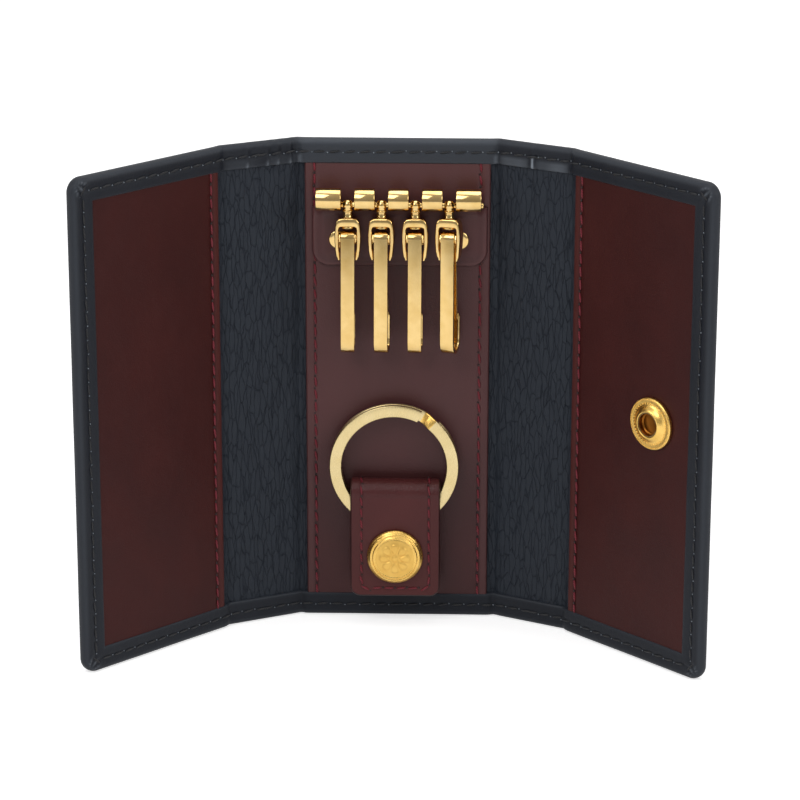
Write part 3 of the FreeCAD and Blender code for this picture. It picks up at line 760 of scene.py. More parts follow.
def bevelled_copy(node: str, name: str, material: Material, width: float) -> Piece:
    """Metal piece with eased edges, made from a merged copy of a CAD node's mesh.

    Args:
        node: CAD node that the piece stands for.
        name: Object's name.
        material: Material of the piece.
        width: Easing of the edges in millimetres.

    Returns:
        The object, at the origin.
    """
    merge, flat_angle, edge_angle, sharp = 1e-6, math.radians(1.0), math.radians(28.0), 50.0
    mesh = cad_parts[node].data.copy()
    mesh.name = name
    mesh.materials.clear()
    mesh.materials.append(material)
    work = bmesh.new()
    work.from_mesh(mesh)
    bmesh.ops.remove_doubles(work, verts=work.verts, dist=merge)
    bmesh.ops.dissolve_limit(work, angle_limit=flat_angle, verts=work.verts, edges=work.edges)
    edges = [e for e in work.edges if len(e.link_faces) == 2 and e.calc_face_angle(0.0) > edge_angle]
    bmesh.ops.bevel(work, geom=edges, offset=width * MM, offset_type="OFFSET", segments=2,
                    profile=0.5, affect="EDGES", clamp_overlap=True)
    for face in work.faces:
        face.material_index = 0
    work.to_mesh(mesh)
    work.free()
    finish_mesh(mesh, sharp)
    return add_object(name, mesh)


def dress_node(node: str, material: Material) -> None:
    """Give a CAD node's own object a material.

    Args:
        node: CAD node that stays as it is.
        material: Its material.
    """
    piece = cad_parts[node]
    piece.data.materials.clear()
    piece.data.materials.append(material)
    LOG.info("%s: dressed as it is", node)


def dress(piece: Piece, slot: str, *nodes: str) -> None:
    """Let a piece stand for nodes: hide them and log the piece's faces.

    Args:
        piece: Finished piece at the origin.
        slot: Material slot of the record; not used.
        nodes: CAD nodes that it stands for.
    """
    if nodes:
        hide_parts(*nodes)
    LOG.info("%s: %d faces", piece.name, len(piece.data.polygons))


def keep(piece: Piece, body: str, slot: str, *nodes: str) -> None:
    """Dress a rigid piece for nodes, and let it ride on a body."""
    dress(piece, slot, *nodes)
    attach(piece, body)


class PatternTree(NodeBoard):
    """Geometry Nodes tree with named inputs."""

    def __init__(self, name: str) -> None:
        """Start a tree with a geometry input and output.

        Args:
            name: Tree's name.
        """
        super().__init__(bpy.data.node_groups.new(name, "GeometryNodeTree"))
        for way in ("INPUT", "OUTPUT"):
            self.tree.interface.new_socket("Geometry", in_out=way, socket_type="NodeSocketGeometry")
        self.inputs = self.add("NodeGroupInput")
        self.output = self.add("NodeGroupOutput")
        self.names: dict[str, str] = {}

    def entries(self, kind: str, *names: str) -> None:
        """Add named inputs.

        Args:
            kind: Blender's own name of their socket.
            names: Name of each input.
        """
        for name in names:
            socket = self.tree.interface.new_socket(name, in_out="INPUT", socket_type=kind)
            self.names[name] = socket.identifier

    def repeat(self, points: Node, output: str, part: Node, part_output: str, finish: str,
               turn: Node | None = None) -> Node:
        """Copy a part to points, as real meshes with a finish.

        Args:
            points: Node that gives the points.
            output: Its output.
            part: Node that gives the part.
            part_output: Its output.
            finish: Name of the material input.
            turn: Node that gives each copy's rotation, where it has one.

        Returns:
            The last node, Set Material.
        """
        copies = self.add("GeometryNodeInstanceOnPoints", {
            "Points": (points, output), "Instance": (part, part_output)})
        if turn is not None:
            self.link(turn, "Rotation", copies, "Rotation")
        real = self.add("GeometryNodeRealizeInstances", {"Geometry": (copies, "Instances")})
        return self.add("GeometryNodeSetMaterial", {
            "Geometry": (real, "Geometry"), "Material": (self.inputs, finish)})

    def bake(self, piece: Piece, values: dict[str, object]) -> Piece:
        """Run the tree on an object and keep the result as its plain mesh.

        Args:
            piece: Object that carries the path or the seed mesh.
            values: Input values by name.

        Returns:
            The same object, with no modifier.
        """
        sharp = 60.0
        modifier = piece.modifiers.new("pattern", "NODES")
        modifier.node_group = self.tree
        for name, value in values.items():
            modifier[self.names[name]] = value
        piece.update_tag()
        bpy.context.view_layer.update()
        graph = bpy.context.evaluated_depsgraph_get()
        mesh = bpy.data.meshes.new_from_object(piece.evaluated_get(graph))
        piece.modifiers.clear()
        piece.data = mesh
        mesh.name = piece.name
        finish_mesh(mesh, sharp)
        return piece


@dataclass(frozen=True)
class StitchStyle:
    """One kind of stitch: sizes in millimetres, angles in radians and finishes."""

    pitch: float
    length: float
    width: float
    height: float
    slant: float
    jitter: float
    dot: float
    seed: int
    thread: Material
    dot_finish: Material


class StitchTree(PatternTree):
    """Stitches along a path: one slanted thread for each pitch, and a dot where it enters the leather, which
    is a dark needle hole on the panels and strap and a pale painted glint on the hem.
    """

    def __init__(self) -> None:
        """Build the tree."""
        super().__init__("stitch_run")
        self.entries("NodeSocketFloat", "Pitch", "Length", "Width", "Height", "Slant", "Jitter", "Dot")
        self.entries("NodeSocketInt", "Seed")
        self.entries("NodeSocketMaterial", "Thread", "Dot Finish")
        curve = self.add("GeometryNodeMeshToCurve", {"Mesh": (self.inputs, "Geometry")})
        even = self.add("GeometryNodeResampleCurve", {
            "Curve": (curve, "Curve"), "Length": (self.inputs, "Pitch")}, mode="LENGTH")
        turn = self.add_turn()
        both = self.add("GeometryNodeJoinGeometry")
        for part, finish in ((self.add_dot(), "Dot Finish"), (self.add_thread(), "Thread")):
            dressed = self.repeat(even, "Curve", part, "Geometry", finish, turn)
            self.link(dressed, "Geometry", both, "Geometry")
        self.link(both, "Geometry", self.output, "Geometry")

    def add_turn(self) -> Node:
        """Rotation of each stitch: off the leather, along the path, with a slant that varies a little.

        Returns:
            The node that gives the rotation.
        """
        lift = self.add("GeometryNodeInputNamedAttribute", {"Name": "lift"}, data_type="FLOAT_VECTOR")
        stand = self.add("FunctionNodeAlignRotationToVector", {"Vector": (lift, "Attribute")}, axis="Z")
        tangent = self.add("GeometryNodeInputTangent")
        along = self.add("FunctionNodeAlignRotationToVector", {
            "Rotation": (stand, "Rotation"), "Vector": (tangent, "Tangent")}, axis="X", pivot_axis="Z")
        chance = self.add("FunctionNodeRandomValue", {
            2: -1.0, 3: 1.0, "Seed": (self.inputs, "Seed")}, data_type="FLOAT")
        angle = self.add("ShaderNodeMath", {
            0: (chance, 1), 1: (self.inputs, "Jitter"), 2: (self.inputs, "Slant")}, operation="MULTIPLY_ADD")
        spin = self.add("ShaderNodeCombineXYZ", {"Z": (angle, "Value")})
        euler = self.add("FunctionNodeEulerToRotation", {"Euler": (spin, "Vector")})
        return self.add("FunctionNodeRotateRotation", {
            "Rotation": (along, "Rotation"), "Rotate By": (euler, "Rotation")}, rotation_space="LOCAL")

    def add_thread(self) -> Node:
        """Thread of one stitch, as a drawn-out ball that lies along X.

        Returns:
            The node that gives the thread.
        """
        ball = self.add("GeometryNodeMeshUVSphere", {"Segments": 8, "Rings": 6, "Radius": 0.5})
        lain = self.add("GeometryNodeTransform", {
            "Geometry": (ball, "Mesh"), "Rotation": (0.0, math.pi / 2, 0.0)})
        axes = {"X": "Length", "Y": "Width", "Z": "Height"}
        size = self.add("ShaderNodeCombineXYZ", {axis: (self.inputs, name) for axis, name in axes.items()})
        return self.add("GeometryNodeTransform", {"Geometry": (lain, "Geometry"), "Scale": (size, "Vector")})

    def add_dot(self) -> Node:
        """Flat dot half a pitch along from the stitch.

        Returns:
            The node that gives the dot.
        """
        dot = self.add("GeometryNodeMeshIcoSphere", {"Radius": (self.inputs, "Dot"), "Subdivisions": 1})
        half = self.add("ShaderNodeMath", {0: (self.inputs, "Pitch"), 1: 0.5}, operation="MULTIPLY")
        step = self.add("ShaderNodeCombineXYZ", {"X": (half, "Value")})
        return self.add("GeometryNodeTransform", {
            "Geometry": (dot, "Mesh"), "Translation": (step, "Vector"), "Scale": (1.0, 1.0, 0.6)})

    def sew(self, name: str, runs: Sequence[Array], lifts: Sequence[Array], style: StitchStyle) -> Piece:
        """Sew one or more runs of stitches.

        Args:
            name: Object's name.
            runs: Points of each run in millimetres.
            lifts: Direction off the leather at each point.
            style: Kind of stitch.

        Returns:
            The stitches, at the origin.
        """
        mesh = bpy.data.meshes.new(name)
        edges = []
        offset = 0
        for run in runs:
            edges += [(offset + k, offset + k + 1) for k in range(len(run) - 1)]
            offset += len(run)
        mesh.from_pydata((np.concatenate(runs) * MM).tolist(), edges, [])
        lift = mesh.attributes.new("lift", "FLOAT_VECTOR", "POINT")
        lift.data.foreach_set("vector", np.concatenate(lifts).astype(np.float32).ravel())
        return self.bake(add_object(name, mesh), {
            "Pitch": style.pitch * MM, "Length": style.length * MM, "Width": style.width * MM,
            "Height": style.height * MM, "Dot": style.dot * MM, "Slant": style.slant, "Jitter": style.jitter,
            "Seed": style.seed, "Thread": style.thread, "Dot Finish": style.dot_finish})


class BeadTree(PatternTree):
    """Small raised beads evenly round a circle about Z."""

    def __init__(self) -> None:
        """Build the tree."""
        super().__init__("bead_ring")
        self.entries("NodeSocketInt", "Count")
        self.entries("NodeSocketFloat", "Radius", "Bead", "Rise")
        self.entries("NodeSocketMaterial", "Metal")
        circle = self.add("GeometryNodeMeshCircle", {
            "Vertices": (self.inputs, "Count"), "Radius": (self.inputs, "Radius")})
        bead = self.add("GeometryNodeMeshIcoSphere", {"Radius": (self.inputs, "Bead"), "Subdivisions": 1})
        lift = self.add("ShaderNodeCombineXYZ", {"Z": (self.inputs, "Rise")})
        raised = self.add("GeometryNodeTransform", {
            "Geometry": (circle, "Mesh"), "Translation": (lift, "Vector")})
        dressed = self.repeat(raised, "Geometry", bead, "Mesh", "Metal")
        self.link(dressed, "Geometry", self.output, "Geometry")


class Side(Enum):
    """Side of the case, by the sign of its X."""

    LEFT = -1
    RIGHT = 1

    @property
    def word(self) -> str:
        """Side's name in small letters."""
        return self.name.lower()


@dataclass(frozen=True)
class CaseFold:
    """Where a point of the flat case lies when the case stands open."""

    height: float = 108.0
    first_crease: float = 21.5
    second_crease: float = 39.4
    edge: float = 80.0
    crease_y: float = 0.9
    spine_turn: float = math.radians(26.8)
    wing_turn: float = math.radians(18.2)
    bend_half: float = 2.2

    @property
    def creases(self) -> tuple[float, float]:
        """Distance of both creases of a side from the case's middle."""
        return self.first_crease, self.second_crease

    def place(self, s: Array, z: Array, h: Array, soft: bool = True) -> Array:
        """Points of the folded case.

        Args:
            s: Distance across the flat case from its middle.
            z: Height above the bottom edge.
            h: Height above the cover's middle, towards the open side.
            soft: True for a rounded crease, False for stiff plates.

        Returns:
            Points in millimetres, in rows of three.
        """
        s, z, h = (np.asarray(k, float).ravel() for k in np.broadcast_arrays(s, z, h))
        across = np.abs(s)
        x, y = across.copy(), -h
        for crease, turn in ((self.second_crease, self.wing_turn), (self.first_crease, self.spine_turn)):
            if soft:
                share = smooth_step((across - crease + self.bend_half) / (2 * self.bend_half))
            else:
                share = (across > crease).astype(float)
            cos, sin = np.cos(turn * share), np.sin(turn * share)
            dx = x - crease
            x, y = crease + dx * cos + y * sin, y * cos - dx * sin
        return np.stack([np.sign(s) * x, self.crease_y + y, z], axis=1)

    def frame(self, s: float, z: float, h: float, outwards: bool) -> Matrix:
        """Placement whose Z leaves the leather at a point of a stiff plate.

        Args:
            s: Distance across the flat case.
            z: Height above the bottom edge.
            h: Height above the cover's middle.
            outwards: True for the case's outside.

        Returns:
            The placement in millimetres.
        """
        here, over, above = self.place(s, np.array([z, z, z + 1.0]), np.array([h, h + 1.0, h]), soft=False)
        axis = Vector(over - here)
        if outwards:
            axis.negate()
        up = Vector(above - here)
        turn = Matrix((up.cross(axis), up, axis)).transposed().to_4x4()
        turn.translation = Vector(here)
        return turn


@dataclass(frozen=True)
class HideWearAndSheen:
    """How far each place of the hide is tinted, of 0 to 1: worn edges, and painted highlights and sheen."""

    # Worn edges, with a painted highlight.
    edge: float = 0.07
    outer_edge: float = 0.06
    # Painted highlights and sheen: the hem's lip, the centre's top hem, pleats, creases, the middle pleat's
    # ridge, corner puckers and the spines' top hem.
    hem_lip_highlight: float = 0.06
    top_hem_sheen: float = 0.085
    pleat: float = 0.3
    crease: float = 0.22
    ridge: float = 0.8
    corner: float = 0.3
    left_painted_shine: float = 0.05
    right_painted_shine: float = 0.2


@dataclass(frozen=True)
class Panel:
    """One leather panel: its names, its visible places across the flat case and its free, stitched edges."""

    name: str
    node: str
    body: str
    start: float
    end: float
    open_edges: tuple[float, ...]
    finish: Material
    wave_seed: int

    def inwards(self, place: float) -> float:
        """Sign of the way from one of its ends into the panel."""
        return 1.0 if place == self.start else -1.0


@dataclass
class LeatherCase:
    """Cover of one hide with turned edges, three panels and the spines' lining."""

    finishes: Finishes
    stitches: StitchTree
    fold: CaseFold = CaseFold()
    wear_and_sheen: HideWearAndSheen = HideWearAndSheen()
    hem_width: float = 5.4
    hem_top: float = 2.35
    spine_hem_top: float = 1.85
    outer_face: float = -0.55
    lining_top: float = 1.25
    panel_top: float = 2.05
    under_panel: float = 0.95
    panel_setback: float = 1.75
    panel_tuck: float = 1.1
    panel_rim: float = 0.4
    edge_reach: float = 1.25
    edge_fullness: float = 2.3
    corner_radius: float = 3.2
    crease_ease: float = 1.6
    blend_half: float = 3.0
    # Painted sheen on the upper centre panel: how strong, where it starts and how far it grows.
    painted_upper_sheen: float = 0.28
    sheen_start: float = 22.0
    sheen_reach: float = 28.0
    stitch_inset: float = 2.7
    panel_stitch_inset: float = 2.1
    panel_pitch: float = 2.75
    pleats: tuple[float, ...] = (-33.6, -29.0, -26.6, -23.8, 30.2)
    hem_lines: tuple[float, ...] = (
        0.05, 0.16, 0.32, 0.55, 0.85, 1.25, 1.7, 2.2, 2.45, 2.7, 2.95, 3.2, 3.8, 4.4,
        4.88, 4.96, 5.06, 5.16, 5.26, 5.34, 5.4, 5.55, 5.9)
    pleat_lines: tuple[float, ...] = (-0.8, -0.4, 0.0, 0.45, 0.9, 1.3)
    free_edge_lines: tuple[float, ...] = (
        0.04, 0.12, 0.25, 0.42, 0.7, 1.1, 1.45, 1.7, 1.9, 2.1, 2.3, 2.5, 2.8, 3.3)
    tuck_lines: tuple[float, ...] = (0.3, 0.6, 0.8, 0.9, 1.0, 1.1, 1.2, 1.3, 1.45, 1.7)

    def edge_distance(self, s: Array, z: Array) -> Array:
        """Distance from the nearest free edge of the flat case."""
        return np.minimum(np.minimum(z, self.fold.height - z), self.fold.edge - np.abs(s))

    def spine_share(self, s: Array) -> Array:
        """1 on a spine, 0 on the centre and the wings, eased at the creases."""
        enter, leave = (
            smooth_step((np.abs(s) - crease + self.crease_ease) / (2 * self.crease_ease))
            for crease in self.fold.creases)
        return enter * (1.0 - leave)

    def hem_height(self, s: Array, z: Array) -> Array:
        """Height of the turned hem, with its pleats and slight waves.

        Args:
            s: Distance across the flat case.
            z: Height above the bottom edge.

        Returns:
            Height above the cover's middle at each point.
        """
        height = self.hem_top + (self.spine_hem_top - self.hem_top) * self.spine_share(s)
        height = height + 0.05 * ripple(s, z, seed=11, wave=14.0)
        near_top = smooth_step((z - self.fold.height + 9.0) / 4.0)
        for pleat in self.pleats:
            ridge, valley = 0.2 * bump_at(s, pleat, 0.55), 0.12 * bump_at(s, pleat + 0.9, 0.6)
            height = height + near_top * (ridge - valley)
        for crease in self.fold.creases:
            for side in Side:
                height = height - 0.22 * bump_at(s, side.value * crease, 0.6)
        return height

    def inner_height(self, s: Array, z: Array) -> Array:
        """Height of the cover's inner face: hem, lining and bed of the panels.

        Args:
            s: Distance across the flat case.
            z: Height above the bottom edge.

        Returns:
            Height above the cover's middle at each point.
        """
        across = np.abs(s)
        step, lip_width = 0.6, 0.5
        hidden = 1.0 - smooth_step((across - self.fold.first_crease + self.panel_setback + 0.9) / step)
        hidden = hidden + smooth_step((across - self.fold.second_crease - self.panel_setback - 0.3) / step)
        floor = self.lining_top + (self.under_panel - self.lining_top) * hidden
        wave = 0.09 * ripple(s * 2.4, z * 0.55, seed=5, wave=5.0) + 0.06 * ripple(s, z, seed=6, wave=9.0)
        floor = floor + wave * (1.0 - hidden)
        for crease in self.fold.creases:
            floor = floor - 0.3 * bump_at(across, crease, 0.7) * (1.0 - hidden)
        edge = self.edge_distance(s, z)
        rise = np.clip((self.hem_width - edge) / lip_width, 0.0, 1.0)
        lip = np.sqrt(1.0 - (1.0 - rise) ** 2)
        groove = 0.16 * bump_at(edge, self.stitch_inset, 0.45)
        return floor + (self.hem_height(s, z) - groove - floor) * lip

    def sheet_wear_and_sheen(self, s: Array, z: Array, edge: Array) -> Array:
        """Tint of the cover: worn edges with a painted highlight, and painted highlights and sheen on the
        hem's lip, the centre's top hem, the spines' top hem, pleats, creases and the middle pleat's ridge.

        Args:
            s: Distance across the flat case.
            z: Height above the bottom edge.
            edge: Distance from the nearest free edge.

        Returns:
            Tint of about 0 to 1 at each point.
        """
        rub_and_sheen, fold = self.wear_and_sheen, self.fold
        across = np.abs(s)
        # Worn edges with a painted highlight, and a painted highlight on the hem's lip.
        tint = rub_and_sheen.edge * bump_at(edge, 0.5, 0.5) + rub_and_sheen.hem_lip_highlight * bump_at(edge, 5.15, 0.25)
        near_top = (z > fold.height - self.hem_width).astype(float)
        # Painted sheen on the centre's top hem.
        tint = tint + rub_and_sheen.top_hem_sheen * near_top * (1.0 - smooth_step((across - fold.first_crease + 1.0) / 2.0))
        # Painted sheen on the spines' top hem, stronger on the right.
        middle = self.pleats[-1]
        first = (across - fold.first_crease - 0.6) / (middle - fold.first_crease - 1.4)
        second = (across - middle - 0.8) / (fold.second_crease - middle - 1.4)
        arcs = sum(np.sin(math.pi * np.clip(part, 0.0, 1.0)) for part in (first, second))
        painted_shine = smooth_step((edge - 3.0) / 0.7) * near_top * np.sqrt(np.clip(arcs, 0.0, 1.0))
        amount = np.where(s > 0, rub_and_sheen.right_painted_shine, rub_and_sheen.left_painted_shine)
        tint = tint + painted_shine * amount * (1.0 + 0.3 * ripple(s * 1.3, z * 0.5, seed=17, wave=6.0))
        # Painted glints on the pleats.
        for pleat in self.pleats:
            tint = tint + rub_and_sheen.pleat * bump_at(s, pleat, 0.3) * near_top * smooth_step((edge - 4.0) / 0.8)
        # Painted highlights beside the first creases.
        for side in Side:
            inside_crease = side.value * (fold.first_crease - 0.5)
            reach = near_top * smooth_step((edge - 2.9) / 0.7)
            tint = tint + rub_and_sheen.crease * bump_at(s, inside_crease, 0.5) * reach
        # Painted highlight along the middle pleat's ridge.
        ridge = bump_at(s, middle, 0.2) * near_top * smooth_step((edge - 2.6) / 0.6)
        return tint + rub_and_sheen.ridge * ridge

    def sheet_lines(self, start: float, end: float) -> tuple[Array, Array]:
        """Grid lines of one part of the cover, close together at hems, creases and pleats.

        Args:
            start: First place across the flat case.
            end: Last place across the flat case.

        Returns:
            The lines across the flat case and up it.
        """
        s_step, z_step = 0.85, 0.95
        z_marks = [mark for rim in self.hem_lines for mark in (rim, self.fold.height - rim)]
        half_marks = [self.fold.edge - rim for rim in self.hem_lines]
        half_marks += [crease + d for crease in self.fold.creases for d in np.arange(-3.0, 3.01, 0.4)]
        s_marks = [side.value * mark for mark in half_marks for side in Side]
        s_marks += [pleat + d for pleat in self.pleats for d in self.pleat_lines]
        return graded(start, end, s_step, s_marks), graded(0.0, self.fold.height, z_step, z_marks)

    def build_sheet(self, name: str, start: float, end: float) -> Piece:
        """One part of the cover as a closed shell.

        Args:
            name: Object's name.
            start: First place across the flat case.
            end: Last place across the flat case.

        Returns:
            The object, at the origin.
        """
        fold = self.fold
        s_line, z_line = self.sheet_lines(start, end)
        s, z = np.meshgrid(s_line, z_line, indexing="ij")
        edge = self.edge_distance(s, z)
        inner = self.inner_height(s, z)
        middle = (self.hem_height(s, z) + self.outer_face) / 2.0
        ease = rounded_rim(edge, self.edge_reach, self.edge_fullness, 1.0 / self.edge_fullness)
        top = np.where(edge < self.edge_reach, middle + (inner - middle) * ease, inner)
        below = middle + (self.outer_face + 0.04 * ripple(s, z, seed=21, wave=26.0) - middle) * ease
        from_side, from_end = fold.edge - np.abs(s), np.minimum(z, fold.height - z)
        new_side, new_end = round_corner(from_side, from_end, self.corner_radius)
        flat_s = np.sign(s) * (fold.edge - new_side)
        flat_z = np.where(z < fold.height / 2, new_end, fold.height - new_end)
        turn = np.arctan2(from_end + 1e-6, from_side + 1e-6)
        pucker = bump_at(np.hypot(from_side, from_end), 2.6, 1.6) * np.cos(turn * 16.0)
        top = top + 0.18 * pucker * (edge > 0.3)
        # Painted glints on the crests of the corner puckers.
        tint = self.sheet_wear_and_sheen(s, z, edge) + self.wear_and_sheen.corner * np.clip(pucker, 0.0, 1.0) ** 2 * (edge > 0.5)
        # Outer face's edges: worn, with a painted highlight.
        rubbed_and_lit = self.wear_and_sheen.outer_edge * bump_at(edge, 0.5, 0.5)
        sketch = MeshSketch(name)
        pattern = np.stack([s.ravel(), z.ravel()], axis=1)
        upper = sketch.add_points(fold.place(flat_s, flat_z, top), pattern, np.clip(tint, 0.0, 1.0).ravel())
        lower = sketch.add_points(fold.place(flat_s, flat_z, below), pattern, rubbed_and_lit.ravel())
        upper, lower = upper.reshape(s.shape), lower.reshape(s.shape)

        def finish(i: int, j: int) -> int:
            """Finish number of an inner face.

            Args:
                i: Face's row.
                j: Face's column.

            Returns:
                0 for hide or 1 for lining.
            """
            s_mid, z_mid = (s_line[i] + s_line[i + 1]) / 2, (z_line[j] + z_line[j + 1]) / 2
            in_spine = fold.first_crease - 4.0 < abs(s_mid) < fold.second_crease + 4.0
            return int(in_spine and self.edge_distance(s_mid, z_mid) > self.hem_width - 0.06)

        sketch.add_grid(upper, finish=finish)
        sketch.add_grid(lower)
        cuts = [(0, row) for row in (0, -1) if abs(abs(s_line[row]) - fold.edge) > 1e-6]
        sketch.add_walls(upper, lower, cuts)
        return sketch.build([self.finishes.navy, self.finishes.lining], sharp=55.0)

    def bend(self, piece: Piece, side: Side, outer: bool) -> None:
        """Bake a piece's placement into its mesh; it is not bent across the crease.

        Args:
            piece: Mesh that crosses the crease.
            side: Side of the case.
            outer: True for the crease between spine and wing.
        """
        crease = self.fold.creases[outer]
        reach = np.array([crease - self.blend_half, crease + self.blend_half]) * side.value
        start, end = self.fold.place(reach, np.zeros(2), np.zeros(2))
        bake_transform(piece)

    def build_cover(self) -> None:
        """Four sheets of the cover with their hem's stitches."""
        seam = sum(self.fold.creases) / 2
        stand_for = {
            (Side.LEFT, False): ["cover_left_spine", "left_spine_lining", "cover_centre"],
            (Side.LEFT, True): ["cover_left_wing"],
            (Side.RIGHT, False): ["cover_right_spine", "right_spine_lining"],
            (Side.RIGHT, True): ["cover_right_wing"],
        }
        for (side, outer), nodes in stand_for.items():
            ends = (seam, self.fold.edge) if outer else (0.0, seam)
            start, end = sorted(side.value * e for e in ends)
            place = f"{side.word}_{'wing' if outer else 'spine'}"
            sheet = self.build_sheet(f"cover_sheet_{place}", start, end)
            self.bend(sheet, side, outer)
            dress(sheet, "navy_leather", *nodes)
            thread = self.stitch_hem(f"hem_stitches_{place}", side, outer, seam)
            self.bend(thread, side, outer)
            dress(thread, "navy_leather")

    def stitch_hem(self, name: str, side: Side, outer: bool, seam: float) -> Piece:
        """Stitches of the hem along one sheet of the cover, on both faces.

        Args:
            name: Object's name.
            side: Side of the case.
            outer: True for the sheet that reaches the wing's free edge.
            seam: Distance of the cut between the side's two sheets from the middle.

        Returns:
            The stitches, at the origin.
        """
        sign, sink = float(side.value), 0.06
        low, high = self.stitch_inset, self.fold.height - self.stitch_inset
        if outer:
            near, far = sign * seam + sign * 1.2, sign * (self.fold.edge - self.stitch_inset)
            corners = [[(near, high), (far, high), (far, low), (near, low)]]
        else:
            near, far = sign * 0.3, sign * seam - sign * 0.3
            corners = [[(near, z), (far, z)] for z in (high, low)]
        runs, lifts = [], []
        for steps in corners:
            s, z = evenly(steps, 0.5).T
            inside, outside = self.hem_height(s, z) - sink, np.full(s.shape, self.outer_face + sink)
            for height, lift in ((inside, 1.0), (outside, -1.0)):
                runs.append(self.fold.place(s, z, height))
                lifts.append(self.fold.place(s, z, height + lift) - runs[-1])
        # Pale dots: painted glints on the navy thread.
        style = StitchStyle(
            pitch=3.0, length=2.3, width=0.5, height=0.4, slant=0.1, jitter=0.06, dot=0.17, seed=3,
            thread=self.finishes.navy_thread, dot_finish=self.finishes.thread_glint)
        return self.stitches.sew(name, runs, lifts, style)

    def panel_lines(self, panel: Panel) -> tuple[Array, Array]:
        """Grid lines of a panel, close together at its edges.

        Args:
            panel: Panel to build.

        Returns:
            The lines across the flat case and up it.
        """
        s_step, z_step, tuck = 1.3, 0.55, self.panel_tuck
        low, high = self.hem_width - tuck, self.fold.height - self.hem_width + tuck
        marks = [p + panel.inwards(p) * d for p in panel.open_edges for d in self.free_edge_lines]
        first, last = panel.start, panel.end
        if first not in panel.open_edges:
            first -= tuck
            marks += [first + d for d in self.tuck_lines]
        if last not in panel.open_edges:
            last += tuck
            marks += [last - d for d in self.tuck_lines]
        z_marks = [mark for d in self.tuck_lines for mark in (low + d, high - d)]
        return graded(first, last, s_step, marks), graded(low, high, z_step, z_marks)

    def build_panel(self, panel: Panel) -> None:
        """One leather panel whose other edges lie under the hem, and its stitches.

        Args:
            panel: Panel to build.
        """
        both_free = len(panel.open_edges) == 2
        s_line, z_line = self.panel_lines(panel)
        s, z = np.meshgrid(s_line, z_line, indexing="ij")
        edge = np.minimum(z, self.fold.height - z)
        if not both_free:
            edge = np.minimum(edge, self.fold.edge - np.abs(s))
        free = np.min([np.abs(s - place) for place in panel.open_edges], axis=0)
        hidden = smooth_step((self.hem_width - 0.2 - edge) / 0.3)
        seen = 1.0 - hidden
        top = self.panel_top - 0.55 * hidden + 0.05 * ripple(s, z, panel.wave_seed, wave=19.0) * seen
        dip = 0.5 + 0.5 * np.cos(2.0 * math.pi * (z - z_line[0]) / self.panel_pitch)
        top = top - bump_at(free, self.panel_stitch_inset, 0.42) * (0.1 + 0.14 * dip) * seen
        top = top + 0.05 * bump_at(free, 1.1, 0.6) * seen
        middle = (self.panel_top + self.under_panel) / 2
        ease = rounded_rim(free, self.panel_rim)
        top = np.where(free < self.panel_rim, middle + (top - middle) * ease, top)
        # Painted highlight on the raised strip beside the stitch; on the centre panel also painted sheen,
        # lighter towards the top.
        tint = 0.22 * (1.0 - smooth_step((free - 1.3) / 0.5)) * seen
        if both_free:
            tint = np.maximum(tint, self.painted_upper_sheen * smooth_step((z - self.sheen_start) / self.sheen_reach))
        sketch = MeshSketch(panel.name)
        pattern = np.stack([s.ravel(), z.ravel()], axis=1)
        upper = sketch.add_points(self.fold.place(s, z, top, False), pattern, tint.ravel())
        lower = sketch.add_points(self.fold.place(s, z, self.under_panel, False), pattern)
        upper, lower = upper.reshape(s.shape), lower.reshape(s.shape)
        sketch.add_grid(upper)
        sketch.add_grid(lower)
        sketch.add_walls(upper, lower, ((0, 0), (0, -1), (1, 0), (1, -1)))
        keep(sketch.build([panel.finish], sharp=60.0), panel.body, "burgundy_leather", panel.node)
        self.stitch_panel(panel)

    def stitch_panel(self, panel: Panel) -> None:
        """Stitches along the free edges of a panel.

        Args:
            panel: Panel that carries them.
        """
        z = np.arange(self.hem_width + 0.6, self.fold.height - self.hem_width - 0.3, 0.5)
        height = self.panel_top - 0.05
        runs, lifts = [], []
        for place in panel.open_edges:
            s = place + panel.inwards(place) * self.panel_stitch_inset
            runs.append(self.fold.place(s, z, height, False))
            lifts.append(self.fold.place(s, z, height + 1.0, False) - runs[-1])
        style = StitchStyle(
            pitch=self.panel_pitch, length=2.25, width=0.55, height=0.46, slant=0.12, jitter=0.07, dot=0.26,
            seed=8, thread=self.finishes.crimson_thread, dot_finish=self.finishes.needle_hole)
        thread = self.stitches.sew(f"{panel.name}_stitches", runs, lifts, style)
        keep(thread, panel.body, "burgundy_leather")

    def build_panels(self) -> None:
        """Centre panel and the two wings' panels."""
        inner = self.fold.first_crease - self.panel_setback
        outer = self.fold.second_crease + self.panel_setback
        edge = self.fold.edge - self.hem_width
        # The centre's calf is lighter in tone: painted sheen.
        calf, polished = self.finishes.burgundy, self.finishes.burgundy_lit_centre
        self.build_panel(Panel(
            "centre_panel_leather", "centre_panel", "centre", -inner, inner, (-inner, inner), polished,
            wave_seed=51))
        self.build_panel(Panel(
            "right_panel_leather", "right_wing_panel", "right_wing", outer, edge, (outer,), calf,
            wave_seed=50))
        self.build_panel(Panel(
            "left_panel_leather", "left_wing_panel", "left_wing", -edge, -outer, (-outer,), calf,
            wave_seed=49))

    def dress_boards(self) -> None:
        """Give the hidden boards their finish."""
        for node in ("centre_board", "left_wing_board", "right_wing_board"):
            dress_node(node, self.finishes.board)


